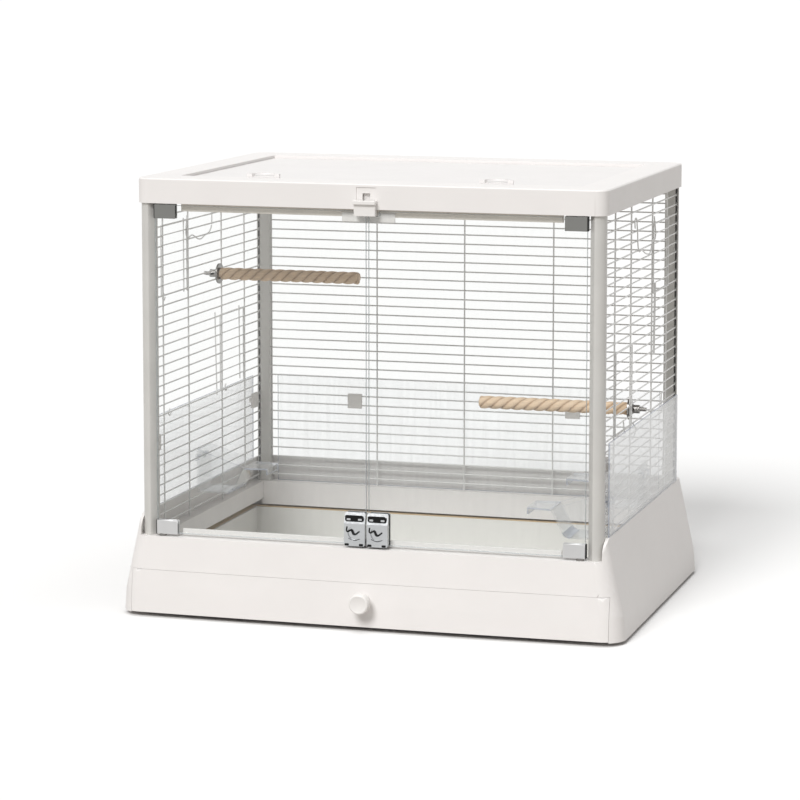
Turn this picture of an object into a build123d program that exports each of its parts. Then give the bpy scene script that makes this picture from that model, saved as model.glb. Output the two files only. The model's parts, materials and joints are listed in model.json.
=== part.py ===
"""A glass-fronted bird cage: base with a pull-out tray, four posts, wire walls, two glass doors and a roof."""
from build123d import *
import math
import os

# Driving dimensions, in millimetres. The front faces -Y, and the floor is Z = 0. The pieces are
# drawn about the middle of the base, and the whole cage is then shifted along Y when it is written.
FIT_GAP = 0.3
RUN_GAP = 0.05

ROOF_WIDTH = 620.0
ROOF_DEPTH = 464.0
ROOF_TOP = 570.0
ROOF_SKIRT = 32.0
ROOF_WALL = 3.0
ROOF_PLATE = 4.0
ROOF_CORNER_RADIUS = 16.0
ROOF_HEADER_DEPTH = 21.0

FOOT_HEIGHT = 5.0
FOOT_RADIUS = 12.0
FOOT_INSET = 45.0

BASE_TOP = 132.0
BASE_TAPER_START = 34.0
BASE_RIM_OUT_X = 1.0
BASE_RIM_OUT_Y = 4.0
BASE_FLARE_X = 21.7
BASE_FLARE_Y = 7.5
BASE_FOOT_FLARE_X = 2.3
BASE_FOOT_FLARE_Y = 1.5
BASE_BOW = 4.0
BASE_CORNER_RADIUS = 30.0
BASE_TOP_CORNER_RADIUS = 18.0
BASE_WALL = 4.0
BASE_FLOOR = 3.0
LEDGE_TOP = 98.0
LEDGE_THICKNESS = 4.0
LEDGE_REACH_X = 6.5
LEDGE_REACH_Y = 9.0
COLLAR_WALL = 3.0
SILL_TOP = 105.5
SILL_BEHIND_POST = 7.0
SILL_HOLLOW_INSET = 16.0
SHOULDER_LENGTH = 27.0

LID_MARGIN_X = 44.0
LID_MARGIN_FRONT = 52.0
LID_MARGIN_BACK = 52.5
LID_THICKNESS = 4.0
LID_GAP = 0.8
LID_LEDGE = 10.0
LID_HINGE_INSET = 3.5
LID_PIN_RADIUS = 2.0
LID_BACK_RELIEF = 10.0
LUG_RADIUS = 22.0
LUG_RISE = 9.0
LUG_OFFSET_X = 155.0
LUG_SCOOP_RADIUS = 15.0
LUG_SCOOP_DEPTH = 4.0

POST_WIDTH = 19.4
FRONT_POST_DEPTH = 16.7
BACK_POST_DEPTH = 12.0
POST_CHAMFER = 7.0
POST_GROOVE_DEPTH = 5.0

WIRE_THICKNESS = 2.0
WIRE_PITCH = 13.1
SIDE_WIRE_INSET = 3.2
BACK_WIRE_INSET = 5.7
FIRST_ROW_ABOVE_LEDGE = 9.7
SIDE_COLUMNS = (-155.0, -63.5, 63.5, 155.0)
BACK_COLUMNS = (-128.7, 0.0, 128.7)
EDGE_BAR = 2.5

HATCH_THICKNESS = 1.6
HATCH_OVERLAP = 1.5
UPPER_HATCH_BELOW_SKIRT = (129.0, 37.3)
LOWER_HATCH_ABOVE_LEDGE = (153.8, 258.6)

GLASS_THICKNESS = 5.0
GLASS_SET_BACK = 0.2
GLASS_MIDDLE_GAP = 1.5
GLASS_POST_GAP = 2.3
GLASS_ABOVE_SILL = 4.0
GLASS_BELOW_SKIRT = 2.5

HINGE_INSET = 7.0
CLIP_WIDTH = 28.5
CLIP_HEIGHT = 18.5
CLIP_WALL = 1.5
PIN_RADIUS = 2.5
PIN_LENGTH = 10.0
PIN_COLLAR_RADIUS = 5.0
END_CAP = 1.3

LOCK_WIDTH = 27.8
LOCK_HEIGHT = 43.0
LOCK_FRONT = 6.0
LOCK_BACK = 3.0
LOCK_BEVEL = 4.5
LOCK_BEVEL_HEIGHT = 14.0
LOCK_DISH_RADIUS = 9.0
LOCK_DISH_DEPTH = 2.0
LOCK_DISH_HEIGHT = 17.0
LOCK_CORNER = 3.0

SILL_STRIP_CLIP_GAP = 3.5
SILL_STRIP_HEIGHT = 9.5
SILL_STRIP_DEPTH = 4.0
STOP_RAIL_CLIP_GAP = 4.5
STOP_RAIL_HEIGHT = 10.5
STOP_RAIL_DEPTH = 5.5

LATCH_WIDTH = 28.0
LATCH_HEIGHT = 15.0
LATCH_BELOW_SKIRT = 8.0
LATCH_DEPTH = 7.0
LATCH_LEDGE_WIDTH = 30.0
LATCH_LEDGE_HEIGHT = 4.5
LATCH_LEDGE_DEPTH = 11.0
LATCH_NECK_WIDTH = 9.4
LATCH_NECK_HEIGHT = 7.0
LATCH_PLATE_WIDTH = 18.0
LATCH_PLATE_DEPTH = 3.0
LATCH_TRAVEL = 10.0
LATCH_POCKET_WIDTH = 26.0
LATCH_POCKET_DEPTH = 1.5
KEEPER_WIDTH = 70.0
KEEPER_HEIGHT = 12.0
KEEPER_BELOW_SKIRT = 17.0
KEEPER_THICKNESS = 1.7

DRAWER_SIDE_WALL = 17.2
DRAWER_BOTTOM_GAP = 1.3
DRAWER_TOP = 62.0
DRAWER_FRONT_THICKNESS = 9.0
DRAWER_END_WIDTH = 18.5
DRAWER_END_DEPTH = 12.0
TRAY_SIDE_GAP = 0.8
TRAY_BACK_GAP = 9.5
TRAY_RIM_DROP = 1.6
TRAY_RIM_WIDTH = 8.0
TRAY_BACK_RIM_WIDTH = 16.0
TRAY_CORNER_RADIUS = 16.0
TRAY_WALL = 2.5
TRIM_HEIGHT = 1.2
TRIM_ROOM = 2.9
TRIM_SIDE_ROOM = 11.4
KNOB_HEIGHT = 40.0
KNOB_RADIUS = 13.0
KNOB_NECK_RADIUS = 8.0
KNOB_PROUD = 24.0
KNOB_HEAD = 11.0
KNOB_SEAT_DEPTH = 1.5

PERCH_RADIUS = 8.5
PERCH_LENGTH = 200.0
LEFT_PERCH_Y = 50.0
LEFT_PERCH_HEIGHT = 416.0
RIGHT_PERCH_Y = -54.0
RIGHT_PERCH_HEIGHT = 271.5
BOLT_RADIUS = 2.5
INNER_WASHER_RADIUS = 14.0
INNER_WASHER_THICKNESS = 2.5
OUTER_WASHER_RADIUS = 6.5
OUTER_WASHER_THICKNESS = 1.5
NUT_RADIUS = 5.5
NUT_LENGTH = 8.0
NUT_WING_SPAN = 27.0
NUT_WING_THICKNESS = 2.5
BOLT_TIP = 9.0

FEEDER_WIDTH = 54.0
FEEDER_BOTTOM = 127.5
FEEDER_BRIM = 164.0
FEEDER_TOP = 186.0
FEEDER_REACH = 68.5
FEEDER_FOOT_REACH = 49.3
FEEDER_FOOT_RADIUS = 12.0
FEEDER_WALL = 2.0
FEEDER_LIP = 31.0
FEEDER_LIP_THICKNESS = 2.5
FEEDER_LIP_TAPER = 5.0
FEEDER_LIP_DROP = 9.0
FEEDER_BACK_GAP = 1.0
FEEDER_POST_GAP = 8.0
FEEDER_RIGHT_SPACING = 206.0
FEEDER_LEFT_SPACING = 163.0
HOOK_OFFSET = 14.0
HOOK_WIDTH = 9.0
HOOK_THICKNESS = 2.5
HOOK_DROP = 6.0

GUARD_THICKNESS = 2.5
GUARD_TOP = 252.0
GUARD_GAP = 3.5
SIDE_GUARD_FRONT_GAP = 7.0
SIDE_GUARD_BACK_GAP = 12.7
BACK_GUARD_POST_GAP = 7.3
BUTTON_SIZE = 21.0
BUTTON_THICKNESS = 4.0
BUTTON_STEM = 7.0
BUTTON_ABOVE_BASE = 87.05
SIDE_BUTTON_Y = (-188.0, 188.0)
BACK_BUTTON_X = (-161.0, 158.0)

# Values that follow from the driving dimensions.
LEFT, RIGHT = -1, 1
SIDES = {"left": LEFT, "right": RIGHT}
HALF_WIRE = WIRE_THICKNESS / 2

SKIRT_BOTTOM = ROOF_TOP - ROOF_SKIRT
PLATE_BOTTOM = ROOF_TOP - ROOF_PLATE
ROOF_INNER_X = ROOF_WIDTH / 2 - ROOF_WALL
ROOF_INNER_Y = ROOF_DEPTH / 2 - ROOF_WALL
ROOF_INNER_RADIUS = ROOF_CORNER_RADIUS - ROOF_WALL
LID_HALF = ROOF_WIDTH / 2 - LID_MARGIN_X
LID_FRONT = LID_MARGIN_FRONT - ROOF_DEPTH / 2
LID_BACK = ROOF_DEPTH / 2 - LID_MARGIN_BACK
LID_TOP = PLATE_BOTTOM
LID_BOTTOM = LID_TOP - LID_THICKNESS

POST_OUTER_X = ROOF_INNER_X - FIT_GAP
POST_OUTER_Y = ROOF_INNER_Y - FIT_GAP
POST_INNER_X = POST_OUTER_X - POST_WIDTH
FRONT_POST_BACK = FRONT_POST_DEPTH - POST_OUTER_Y
BACK_POST_FRONT = POST_OUTER_Y - BACK_POST_DEPTH
SIDE_WIRE_X = POST_OUTER_X - SIDE_WIRE_INSET
BACK_WIRE_Y = POST_OUTER_Y - BACK_WIRE_INSET

BASE_BOTTOM = FOOT_HEIGHT
FLOOR_TOP = BASE_BOTTOM + BASE_FLOOR
BASE_TOP_WIDTH = ROOF_WIDTH + 2 * BASE_RIM_OUT_X
BASE_TOP_DEPTH = ROOF_DEPTH + 2 * BASE_RIM_OUT_Y
BASE_TAPER_WIDTH = BASE_TOP_WIDTH + 2 * BASE_FLARE_X
BASE_TAPER_DEPTH = BASE_TOP_DEPTH + 2 * BASE_FLARE_Y
BASE_WIDTH = BASE_TAPER_WIDTH + 2 * BASE_FOOT_FLARE_X
BASE_DEPTH = BASE_TAPER_DEPTH + 2 * BASE_FOOT_FLARE_Y
LEDGE_HALF_WIDTH = SIDE_WIRE_X - LEDGE_REACH_X
LEDGE_BACK = BACK_WIRE_Y - LEDGE_REACH_Y
SILL_BACK = FRONT_POST_BACK + SILL_BEHIND_POST

MESH_BOTTOM = LEDGE_TOP + FIT_GAP
MESH_TOP = PLATE_BOTTOM - FIT_GAP
UPPER_HATCH_HEIGHTS = [SKIRT_BOTTOM - drop for drop in UPPER_HATCH_BELOW_SKIRT]
LOWER_HATCH_HEIGHTS = [LEDGE_TOP + rise for rise in LOWER_HATCH_ABOVE_LEDGE]
FIRST_ROW = LEDGE_TOP + FIRST_ROW_ABOVE_LEDGE

GLASS_FRONT = GLASS_SET_BACK - POST_OUTER_Y
GLASS_BACK = GLASS_FRONT + GLASS_THICKNESS
GLASS_OUTER = POST_INNER_X - GLASS_POST_GAP
GLASS_BOTTOM = SILL_TOP + GLASS_ABOVE_SILL
GLASS_TOP = SKIRT_BOTTOM - GLASS_BELOW_SKIRT
HINGE_X = GLASS_OUTER - HINGE_INSET
HINGE_Y = GLASS_FRONT + GLASS_THICKNESS / 2
CLIP_INNER_X = GLASS_OUTER - CLIP_WIDTH
CLIP_BOTTOM = GLASS_BOTTOM - CLIP_WALL
CLIP_TOP = GLASS_TOP + CLIP_WALL
LOCK_BOTTOM = CLIP_BOTTOM
LOCK_REAR_Y = GLASS_BACK + LOCK_BACK
STOP_Y = LOCK_REAR_Y + FIT_GAP
LATCH_BOTTOM = SKIRT_BOTTOM - LATCH_BELOW_SKIRT

DRAWER_HALF_WIDTH = BASE_WIDTH / 2 - DRAWER_SIDE_WALL
DRAWER_BOTTOM = BASE_BOTTOM + DRAWER_BOTTOM_GAP
DRAWER_FRONT_BACK = DRAWER_FRONT_THICKNESS - BASE_DEPTH / 2
TRAY_HALF_WIDTH = DRAWER_HALF_WIDTH - TRAY_SIDE_GAP
TRAY_BACK = BASE_TAPER_DEPTH / 2 - BASE_WALL - TRAY_BACK_GAP
TRAY_RIM_TOP = DRAWER_TOP - TRAY_RIM_DROP
DRAWER_END_BACK = DRAWER_FRONT_BACK + DRAWER_END_DEPTH
COLLAR_BOTTOM = TRAY_RIM_TOP + TRIM_HEIGHT + TRIM_ROOM
COLLAR_SIDE_BOTTOM = TRAY_RIM_TOP + TRIM_HEIGHT + TRIM_SIDE_ROOM
GUARD_INNER_X = SIDE_WIRE_X + HALF_WIRE + GUARD_GAP
FEEDER_FRONT_Y = FRONT_POST_BACK + FEEDER_POST_GAP + FEEDER_WIDTH / 2
FEEDER_REAR_Y = FEEDER_FRONT_Y + FEEDER_RIGHT_SPACING
FEEDER_LEFT_Y = FEEDER_FRONT_Y + FEEDER_LEFT_SPACING
FEEDER_CENTRES = {
    "feeder_right_front": (RIGHT, FEEDER_FRONT_Y),
    "feeder_right_rear": (RIGHT, FEEDER_REAR_Y),
    "feeder_left": (LEFT, FEEDER_LEFT_Y),
}


def block(x, y, z):
    """A box between two corners, each axis given as (low, high)."""
    size = [high - low for low, high in (x, y, z)]
    middle = [(low + high) / 2 for low, high in (x, y, z)]
    return Pos(*middle) * Box(*size)


def spread(side, inner, outer):
    """The X range from inner to outer on one side of the cage."""
    return tuple(sorted((side * inner, side * outer)))


def cylinder_x(radius, start, end, y, z):
    """A round bar along X from start to end."""
    turned = Rotation(0, 90, 0) * Cylinder(radius, abs(end - start))
    return Pos((start + end) / 2, y, z) * turned


def cylinder_z(radius, low, high, x, y):
    """A round bar along Z from low to high."""
    return Pos(x, y, (low + high) / 2) * Cylinder(radius, high - low)


def prism_y(outline, low, high):
    """An outline drawn in the XZ plane, drawn out along Y from low to high."""
    return Pos(0, high, 0) * extrude(Plane.XZ * outline, high - low)


def prism_x(outline, low, high):
    """An outline drawn in the YZ plane, drawn out along X from low to high."""
    return Pos(low, 0, 0) * extrude(Plane.YZ * outline, high - low)


def closed_outline(points):
    """A flat face inside straight lines through the points."""
    return make_face(Polyline(*points, close=True))


def side_turn(shape, side):
    """The shape as drawn for the right side, or turned half round for the left side."""
    return shape if side == RIGHT else Rotation(0, 0, 180) * shape


def side_mirror(shape, side):
    """The shape as drawn for the right side, or mirrored for the left side."""
    return shape if side == RIGHT else mirror(shape, Plane.YZ)


# Base

def base_half(height, bottom, taper, top):
    """Half a width or depth of the base at one height, between its three sections."""
    if height <= BASE_TAPER_START:
        share = (height - BASE_BOTTOM) / (BASE_TAPER_START - BASE_BOTTOM)
        return (bottom + (taper - bottom) * share) / 2
    share = (height - BASE_TAPER_START) / (BASE_TOP - BASE_TAPER_START)
    return (taper + (top - taper) * share) / 2


def base_corner(height):
    """The radius of the base's upright corners at one height, tightening towards the top."""
    share = (height - BASE_BOTTOM) / (BASE_TOP - BASE_BOTTOM)
    return BASE_CORNER_RADIUS + (BASE_TOP_CORNER_RADIUS - BASE_CORNER_RADIUS) * share


def base_section(height, inset=0.0):
    """The base's outline at one height, with its front edge bowed forward."""
    half_x = base_half(height, BASE_WIDTH, BASE_TAPER_WIDTH, BASE_TOP_WIDTH) - inset
    half_y = base_half(height, BASE_DEPTH, BASE_TAPER_DEPTH, BASE_TOP_DEPTH) - inset
    front_y = BASE_BOW - half_y
    edges = [
        ThreePointArc((-half_x, front_y), (0, -half_y), (half_x, front_y)),
        Line((half_x, front_y), (half_x, half_y)),
        Line((half_x, half_y), (-half_x, half_y)),
        Line((-half_x, half_y), (-half_x, front_y)),
    ]
    outline = make_face(Curve() + edges)
    return Pos(0, 0, height) * fillet(outline.vertices(), base_corner(height) - inset)


def base_solid(heights, inset=0.0):
    """The base's body between heights, drawn in from its outside by an inset."""
    return loft([base_section(height, inset) for height in heights], ruled=True)


def inner_ring(half_x, front_y, back_y, wall, low, high):
    """An upright rectangular wall round the opening above the tray."""
    outer = block((-half_x - wall, half_x + wall), (front_y, back_y + wall), (low, high))
    return outer - block((-half_x, half_x), (front_y, back_y), (low, high))


def shoulder_cut():
    """The room above the front sill, up to the rounded shoulders of the side walls."""
    sill_front = -BASE_DEPTH / 2 - BASE_BOW
    shoulder_foot = -BASE_TOP_DEPTH / 2 + BASE_WALL
    shoulder_head = shoulder_foot + SHOULDER_LENGTH
    rise = BASE_TOP - SILL_TOP
    bend = (shoulder_foot + SHOULDER_LENGTH * (1 - math.sqrt(0.5)), SILL_TOP + rise * math.sqrt(0.5))
    edges = [
        Line((sill_front, SILL_TOP), (shoulder_foot, SILL_TOP)),
        ThreePointArc((shoulder_foot, SILL_TOP), bend, (shoulder_head, BASE_TOP)),
        Line((shoulder_head, BASE_TOP), (shoulder_head, BASE_TOP + rise)),
        Line((shoulder_head, BASE_TOP + rise), (sill_front, BASE_TOP + rise)),
        Line((sill_front, BASE_TOP + rise), (sill_front, SILL_TOP)),
    ]
    return prism_x(make_face(Curve() + edges), -BASE_WIDTH / 2, BASE_WIDTH / 2)


def drawer_ends(grow, heights):
    """The two blocks behind the ends of the drawer's front, where it follows the base's corners."""
    inner = DRAWER_HALF_WIDTH - DRAWER_END_WIDTH - grow
    outer = DRAWER_HALF_WIDTH + FIT_GAP
    y = (-BASE_DEPTH, DRAWER_END_BACK + grow)
    left, right = (block(spread(side, inner, outer), y, heights) for side in SIDES.values())
    return left + right


def drawer_opening():
    """The opening in the front wall that the drawer's front fills, with room for the tray behind it."""
    half = DRAWER_HALF_WIDTH + FIT_GAP
    top = DRAWER_TOP + FIT_GAP
    front_room = block((-half, half), (-BASE_DEPTH, DRAWER_FRONT_BACK + FIT_GAP), (0, top))
    tray_room = block((-half, half), (-BASE_DEPTH, DRAWER_FRONT_BACK + BASE_CORNER_RADIUS), (FLOOR_TOP, top))
    return front_room + tray_room + drawer_ends(FIT_GAP, (0, top))


def door_room():
    """The room above the sill between the side walls, for the front posts and the glass doors."""
    return block((-ROOF_INNER_X, ROOF_INNER_X), (-BASE_DEPTH, SILL_BACK), (SILL_TOP, BASE_TOP))


def base_shell():
    """The moulded base: sloping walls, floor, inner ledge, collar over the tray and front sill."""
    outside = base_solid((BASE_BOTTOM, BASE_TAPER_START, BASE_TOP))
    ledge_bottom = LEDGE_TOP - LEDGE_THICKNESS
    below = base_solid((FLOOR_TOP, BASE_TAPER_START, ledge_bottom), BASE_WALL)
    above = base_solid((LEDGE_TOP, BASE_TOP), BASE_WALL)
    hole = block((-LEDGE_HALF_WIDTH, LEDGE_HALF_WIDTH), (SILL_BACK, LEDGE_BACK), (ledge_bottom, LEDGE_TOP))
    collar = inner_ring(LEDGE_HALF_WIDTH, SILL_BACK, LEDGE_BACK, COLLAR_WALL, COLLAR_BOTTOM, ledge_bottom)
    collar = collar - block((-BASE_WIDTH, BASE_WIDTH), (SILL_BACK, LEDGE_BACK), (0, COLLAR_SIDE_BOTTOM))
    front_band = block((-BASE_WIDTH, BASE_WIDTH), (-BASE_DEPTH, SILL_BACK), (DRAWER_TOP + FIT_GAP, SILL_TOP))
    sill = outside & front_band
    half = HINGE_X - SILL_HOLLOW_INSET
    hollow = block(
        (-half, half),
        (-BASE_TOP_DEPTH / 2 + 2 * BASE_WALL, SILL_BACK - BASE_WALL),
        (0, SILL_TOP - BASE_WALL),
    )
    shell = outside - below - above - hole
    shell = shell + collar + sill
    shell = shell - hollow - shoulder_cut() - drawer_opening() - door_room()
    bore_bottom = SILL_TOP - PIN_LENGTH - FIT_GAP
    wire_end = FRONT_POST_BACK - POST_GROOVE_DEPTH
    for side in SIDES.values():
        shell = shell - cylinder_z(PIN_RADIUS + RUN_GAP, bore_bottom, SILL_TOP, side * HINGE_X, HINGE_Y)
        shell = shell - wire_groove(side, (wire_end, SILL_BACK), LEDGE_TOP)
    return shell


def foot_pads():
    """Four round pads under the corners of the base."""
    x = BASE_WIDTH / 2 - FOOT_INSET
    y = BASE_DEPTH / 2 - FOOT_INSET
    return [cylinder_z(FOOT_RADIUS, 0, BASE_BOTTOM, a * x, b * y) for a in (-1, 1) for b in (-1, 1)]


def sill_strip():
    """The upright strip behind the foot of the glass doors."""
    half = CLIP_INNER_X - SILL_STRIP_CLIP_GAP
    return block((-half, half), (STOP_Y, STOP_Y + SILL_STRIP_DEPTH), (SILL_TOP, SILL_TOP + SILL_STRIP_HEIGHT))


# Drawer

def drawer_front():
    """The drawer's front, which carries on the outside form of the base."""
    outside = base_solid((BASE_BOTTOM, BASE_TAPER_START, BASE_TOP))
    half = DRAWER_HALF_WIDTH
    heights = (DRAWER_BOTTOM, DRAWER_TOP)
    window = block((-half, half), (-BASE_DEPTH, DRAWER_FRONT_BACK), heights)
    ends = drawer_ends(0.0, heights) & block((-half, half), (-BASE_DEPTH, 0), heights)
    return (outside & (window + ends)) - knob_seat()


def knob_face_y():
    """The place along Y of the drawer's front surface behind the knob."""
    return -base_half(KNOB_HEIGHT, BASE_DEPTH, BASE_TAPER_DEPTH, BASE_TOP_DEPTH)


def knob_cylinder(radius, near, far):
    """A round bar along Y on the knob's axis."""
    turned = Rotation(90, 0, 0) * Cylinder(radius, far - near)
    return Pos(0, (near + far) / 2, KNOB_HEIGHT) * turned


def knob_seat():
    """The flat round seat sunk into the drawer's front for the knob."""
    face = knob_face_y()
    return knob_cylinder(KNOB_NECK_RADIUS + FIT_GAP, face - KNOB_SEAT_DEPTH, face + KNOB_SEAT_DEPTH)


def drawer_knob():
    """The round pull knob: a neck on the seat and a wider head with rounded edges."""
    face = knob_face_y()
    tip = face - KNOB_PROUD
    head_back = tip + KNOB_HEAD
    neck = knob_cylinder(KNOB_NECK_RADIUS, head_back, face + KNOB_SEAT_DEPTH)
    head = fillet(knob_cylinder(KNOB_RADIUS, tip, head_back).edges().filter_by(GeomType.CIRCLE), KNOB_HEAD / 4)
    return neck + head


def tray_rim(heights):
    """The tray's outline at its rim, with round back corners and room for the front's ends."""
    half = TRAY_HALF_WIDTH
    plate = rounded_plate(half, TRAY_BACK, TRAY_CORNER_RADIUS, *heights)
    plate = plate + block((-half, half), (DRAWER_FRONT_BACK, 0), heights)
    front = block((-half, half), (DRAWER_FRONT_BACK, TRAY_BACK), heights)
    return (plate & front) - drawer_ends(FIT_GAP, heights)


def drawer_tray():
    """The deep tray with an outward rim, fixed behind the drawer's front."""
    front = DRAWER_FRONT_BACK
    low = FLOOR_TOP + FIT_GAP
    body_half = TRAY_HALF_WIDTH - TRAY_RIM_WIDTH
    body_back = TRAY_BACK - TRAY_BACK_RIM_WIDTH
    body = block((-body_half, body_half), (front, body_back), (low, TRAY_RIM_TOP))
    body = body - drawer_ends(FIT_GAP, (low, TRAY_RIM_TOP))
    inside_half = body_half - TRAY_WALL
    heights = (low + TRAY_WALL, TRAY_RIM_TOP)
    inside = block((-inside_half, inside_half), (front + TRAY_WALL, body_back - TRAY_WALL), heights)
    inside = inside - drawer_ends(FIT_GAP + TRAY_WALL, heights)
    return body + tray_rim((TRAY_RIM_TOP - TRAY_WALL, TRAY_RIM_TOP)) - inside


def tray_trim():
    """The tan edging strip along both sides and the back of the tray's rim."""
    inner_half = TRAY_HALF_WIDTH - TRAY_RIM_WIDTH
    heights = (TRAY_RIM_TOP, TRAY_RIM_TOP + TRIM_HEIGHT)
    inner = block((-inner_half, inner_half), (-BASE_DEPTH, TRAY_BACK - TRAY_BACK_RIM_WIDTH), heights)
    return tray_rim(heights) - inner


# Roof

def rounded_plate(half_x, half_y, radius, low, high):
    """A plate with rounded corners between two heights."""
    return Pos(0, 0, low) * extrude(RectangleRounded(2 * half_x, 2 * half_y, radius), high - low)


def lid_window(grow, low, high, back=LID_BACK):
    """A rectangular room in the roof, grown past the lid by a distance."""
    half = LID_HALF + grow
    return block((-half, half), (LID_FRONT - grow, back + grow), (low, high))


def roof_frame():
    """The roof: a skirt, a top rim, a rebate with a ledge for the lid, and a header over the doors."""
    outside = rounded_plate(ROOF_WIDTH / 2, ROOF_DEPTH / 2, ROOF_CORNER_RADIUS, SKIRT_BOTTOM, ROOF_TOP)
    outside = chamfer(outside.faces().sort_by(Axis.Z)[-1].outer_wire().edges(), ROOF_WALL / 2)
    inside = rounded_plate(ROOF_INNER_X, ROOF_INNER_Y, ROOF_INNER_RADIUS, SKIRT_BOTTOM, PLATE_BOTTOM)
    wall_bottom = LID_BOTTOM - ROOF_PLATE
    rebate_wall = lid_window(LID_GAP + ROOF_WALL, wall_bottom, PLATE_BOTTOM)
    room = lid_window(LID_GAP, LID_BOTTOM, ROOF_TOP)
    below = lid_window(-LID_LEDGE, wall_bottom, LID_BOTTOM)
    back_room = block(
        (-LID_HALF - LID_GAP, LID_HALF + LID_GAP),
        (LID_BACK - LID_BACK_RELIEF, LID_BACK + LID_GAP),
        (wall_bottom, LID_BOTTOM),
    )
    header_half = POST_INNER_X - 2 * FIT_GAP
    header = block(
        (-header_half, header_half),
        (-ROOF_INNER_Y, -ROOF_INNER_Y + ROOF_HEADER_DEPTH),
        (SKIRT_BOTTOM, PLATE_BOTTOM),
    )
    frame = outside - inside + rebate_wall + header
    frame = frame - room - below - back_room
    pin_reach = LID_HALF + LID_GAP + ROOF_WALL
    frame = frame - cylinder_x(LID_PIN_RADIUS + RUN_GAP, -pin_reach, pin_reach, lid_hinge_y(), lid_hinge_z())
    for side in SIDES.values():
        bore_top = SKIRT_BOTTOM + PIN_LENGTH + FIT_GAP
        frame = frame - cylinder_z(PIN_RADIUS + RUN_GAP, SKIRT_BOTTOM, bore_top, side * HINGE_X, HINGE_Y)
    return frame - latch_rooms()


def lid_hinge_y():
    """The lid's hinge line along Y."""
    return LID_BACK - LID_HINGE_INSET


def lid_hinge_z():
    """The lid's hinge line along Z, through the middle of the panel."""
    return LID_BOTTOM + LID_THICKNESS / 2


def roof_lid():
    """The hinged roof panel with two half-round finger lugs and a pin at each end of its back edge."""
    lid = block((-LID_HALF, LID_HALF), (LID_FRONT, LID_BACK), (LID_BOTTOM, LID_TOP))
    front_half = block((-LID_HALF, LID_HALF), (LID_FRONT, LID_BACK), (LID_BOTTOM, LID_TOP + LUG_RISE))
    for side in SIDES.values():
        x = side * LUG_OFFSET_X
        lug = cylinder_z(LUG_RADIUS, LID_TOP, LID_TOP + LUG_RISE, x, LID_FRONT)
        scoop_floor = LID_TOP + LUG_RISE - LUG_SCOOP_DEPTH
        scoop = cylinder_z(LUG_SCOOP_RADIUS, scoop_floor, LID_TOP + LUG_RISE, x, LID_FRONT)
        lid = lid + ((lug - scoop) & front_half)
        pin_start = side * (LID_HALF - LID_THICKNESS)
        pin_end = side * (LID_HALF + LID_GAP + ROOF_WALL - FIT_GAP)
        lid = lid + cylinder_x(LID_PIN_RADIUS, pin_start, pin_end, lid_hinge_y(), lid_hinge_z())
    return lid


# Latch

def latch_neck_heights():
    """The lower and upper height of the latch's neck at rest."""
    low = SKIRT_BOTTOM + ROOF_WALL
    return low, low + LATCH_NECK_HEIGHT


def latch_plate_heights():
    """The lower and upper height of the plate behind the skirt at rest."""
    low, high = latch_neck_heights()
    return low, high + FIT_GAP


def latch_rooms():
    """The slot in the skirt, the room behind it and the shallow pocket above the slider."""
    low, high = latch_neck_heights()
    slot_half = LATCH_NECK_WIDTH / 2 + FIT_GAP
    front = -ROOF_DEPTH / 2
    slot = block((-slot_half, slot_half), (front, -ROOF_INNER_Y), (low - FIT_GAP, high + LATCH_TRAVEL + FIT_GAP))
    plate_low, plate_high = latch_plate_heights()
    room_half = LATCH_PLATE_WIDTH / 2 + FIT_GAP
    room = block(
        (-room_half, room_half),
        (-ROOF_INNER_Y, -ROOF_INNER_Y + LATCH_PLATE_DEPTH + 2 * FIT_GAP),
        (plate_low - FIT_GAP, plate_high + LATCH_TRAVEL + FIT_GAP),
    )
    pocket_half = LATCH_POCKET_WIDTH / 2
    pocket_low = LATCH_BOTTOM + LATCH_HEIGHT
    pocket = block((-pocket_half, pocket_half), (front, front + LATCH_POCKET_DEPTH), (pocket_low, PLATE_BOTTOM))
    return slot + room + pocket


def latch_slider():
    """The slider on the skirt: a body, a thumb ledge, a neck through the slot and a plate behind it."""
    skirt_front = -ROOF_DEPTH / 2
    back = skirt_front - FIT_GAP
    half = LATCH_WIDTH / 2
    ledge_half = LATCH_LEDGE_WIDTH / 2
    top = LATCH_BOTTOM + LATCH_HEIGHT
    body = block((-half, half), (back - LATCH_DEPTH, back), (LATCH_BOTTOM, top))
    ledge = block((-ledge_half, ledge_half), (back - LATCH_LEDGE_DEPTH, back), (top, top + LATCH_LEDGE_HEIGHT))
    low, high = latch_neck_heights()
    neck_half = LATCH_NECK_WIDTH / 2
    plate_front = -ROOF_INNER_Y + FIT_GAP
    neck = block((-neck_half, neck_half), (back, plate_front), (low, high))
    plate_half = LATCH_PLATE_WIDTH / 2
    plate = block((-plate_half, plate_half), (plate_front, plate_front + LATCH_PLATE_DEPTH), latch_plate_heights())
    return body + ledge + neck + plate


def door_stop_rail():
    """The rail under the header that the glass doors close against."""
    half = CLIP_INNER_X - STOP_RAIL_CLIP_GAP
    heights = (SKIRT_BOTTOM - STOP_RAIL_HEIGHT, SKIRT_BOTTOM)
    return block((-half, half), (STOP_Y, STOP_Y + STOP_RAIL_DEPTH), heights)


def latch_keeper():
    """The small plate on the front of the stop rail, behind the inner corners of the glass."""
    half = KEEPER_WIDTH / 2
    low = SKIRT_BOTTOM - KEEPER_BELOW_SKIRT
    return block((-half, half), (STOP_Y - KEEPER_THICKNESS, STOP_Y), (low, low + KEEPER_HEIGHT))


# Posts

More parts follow.
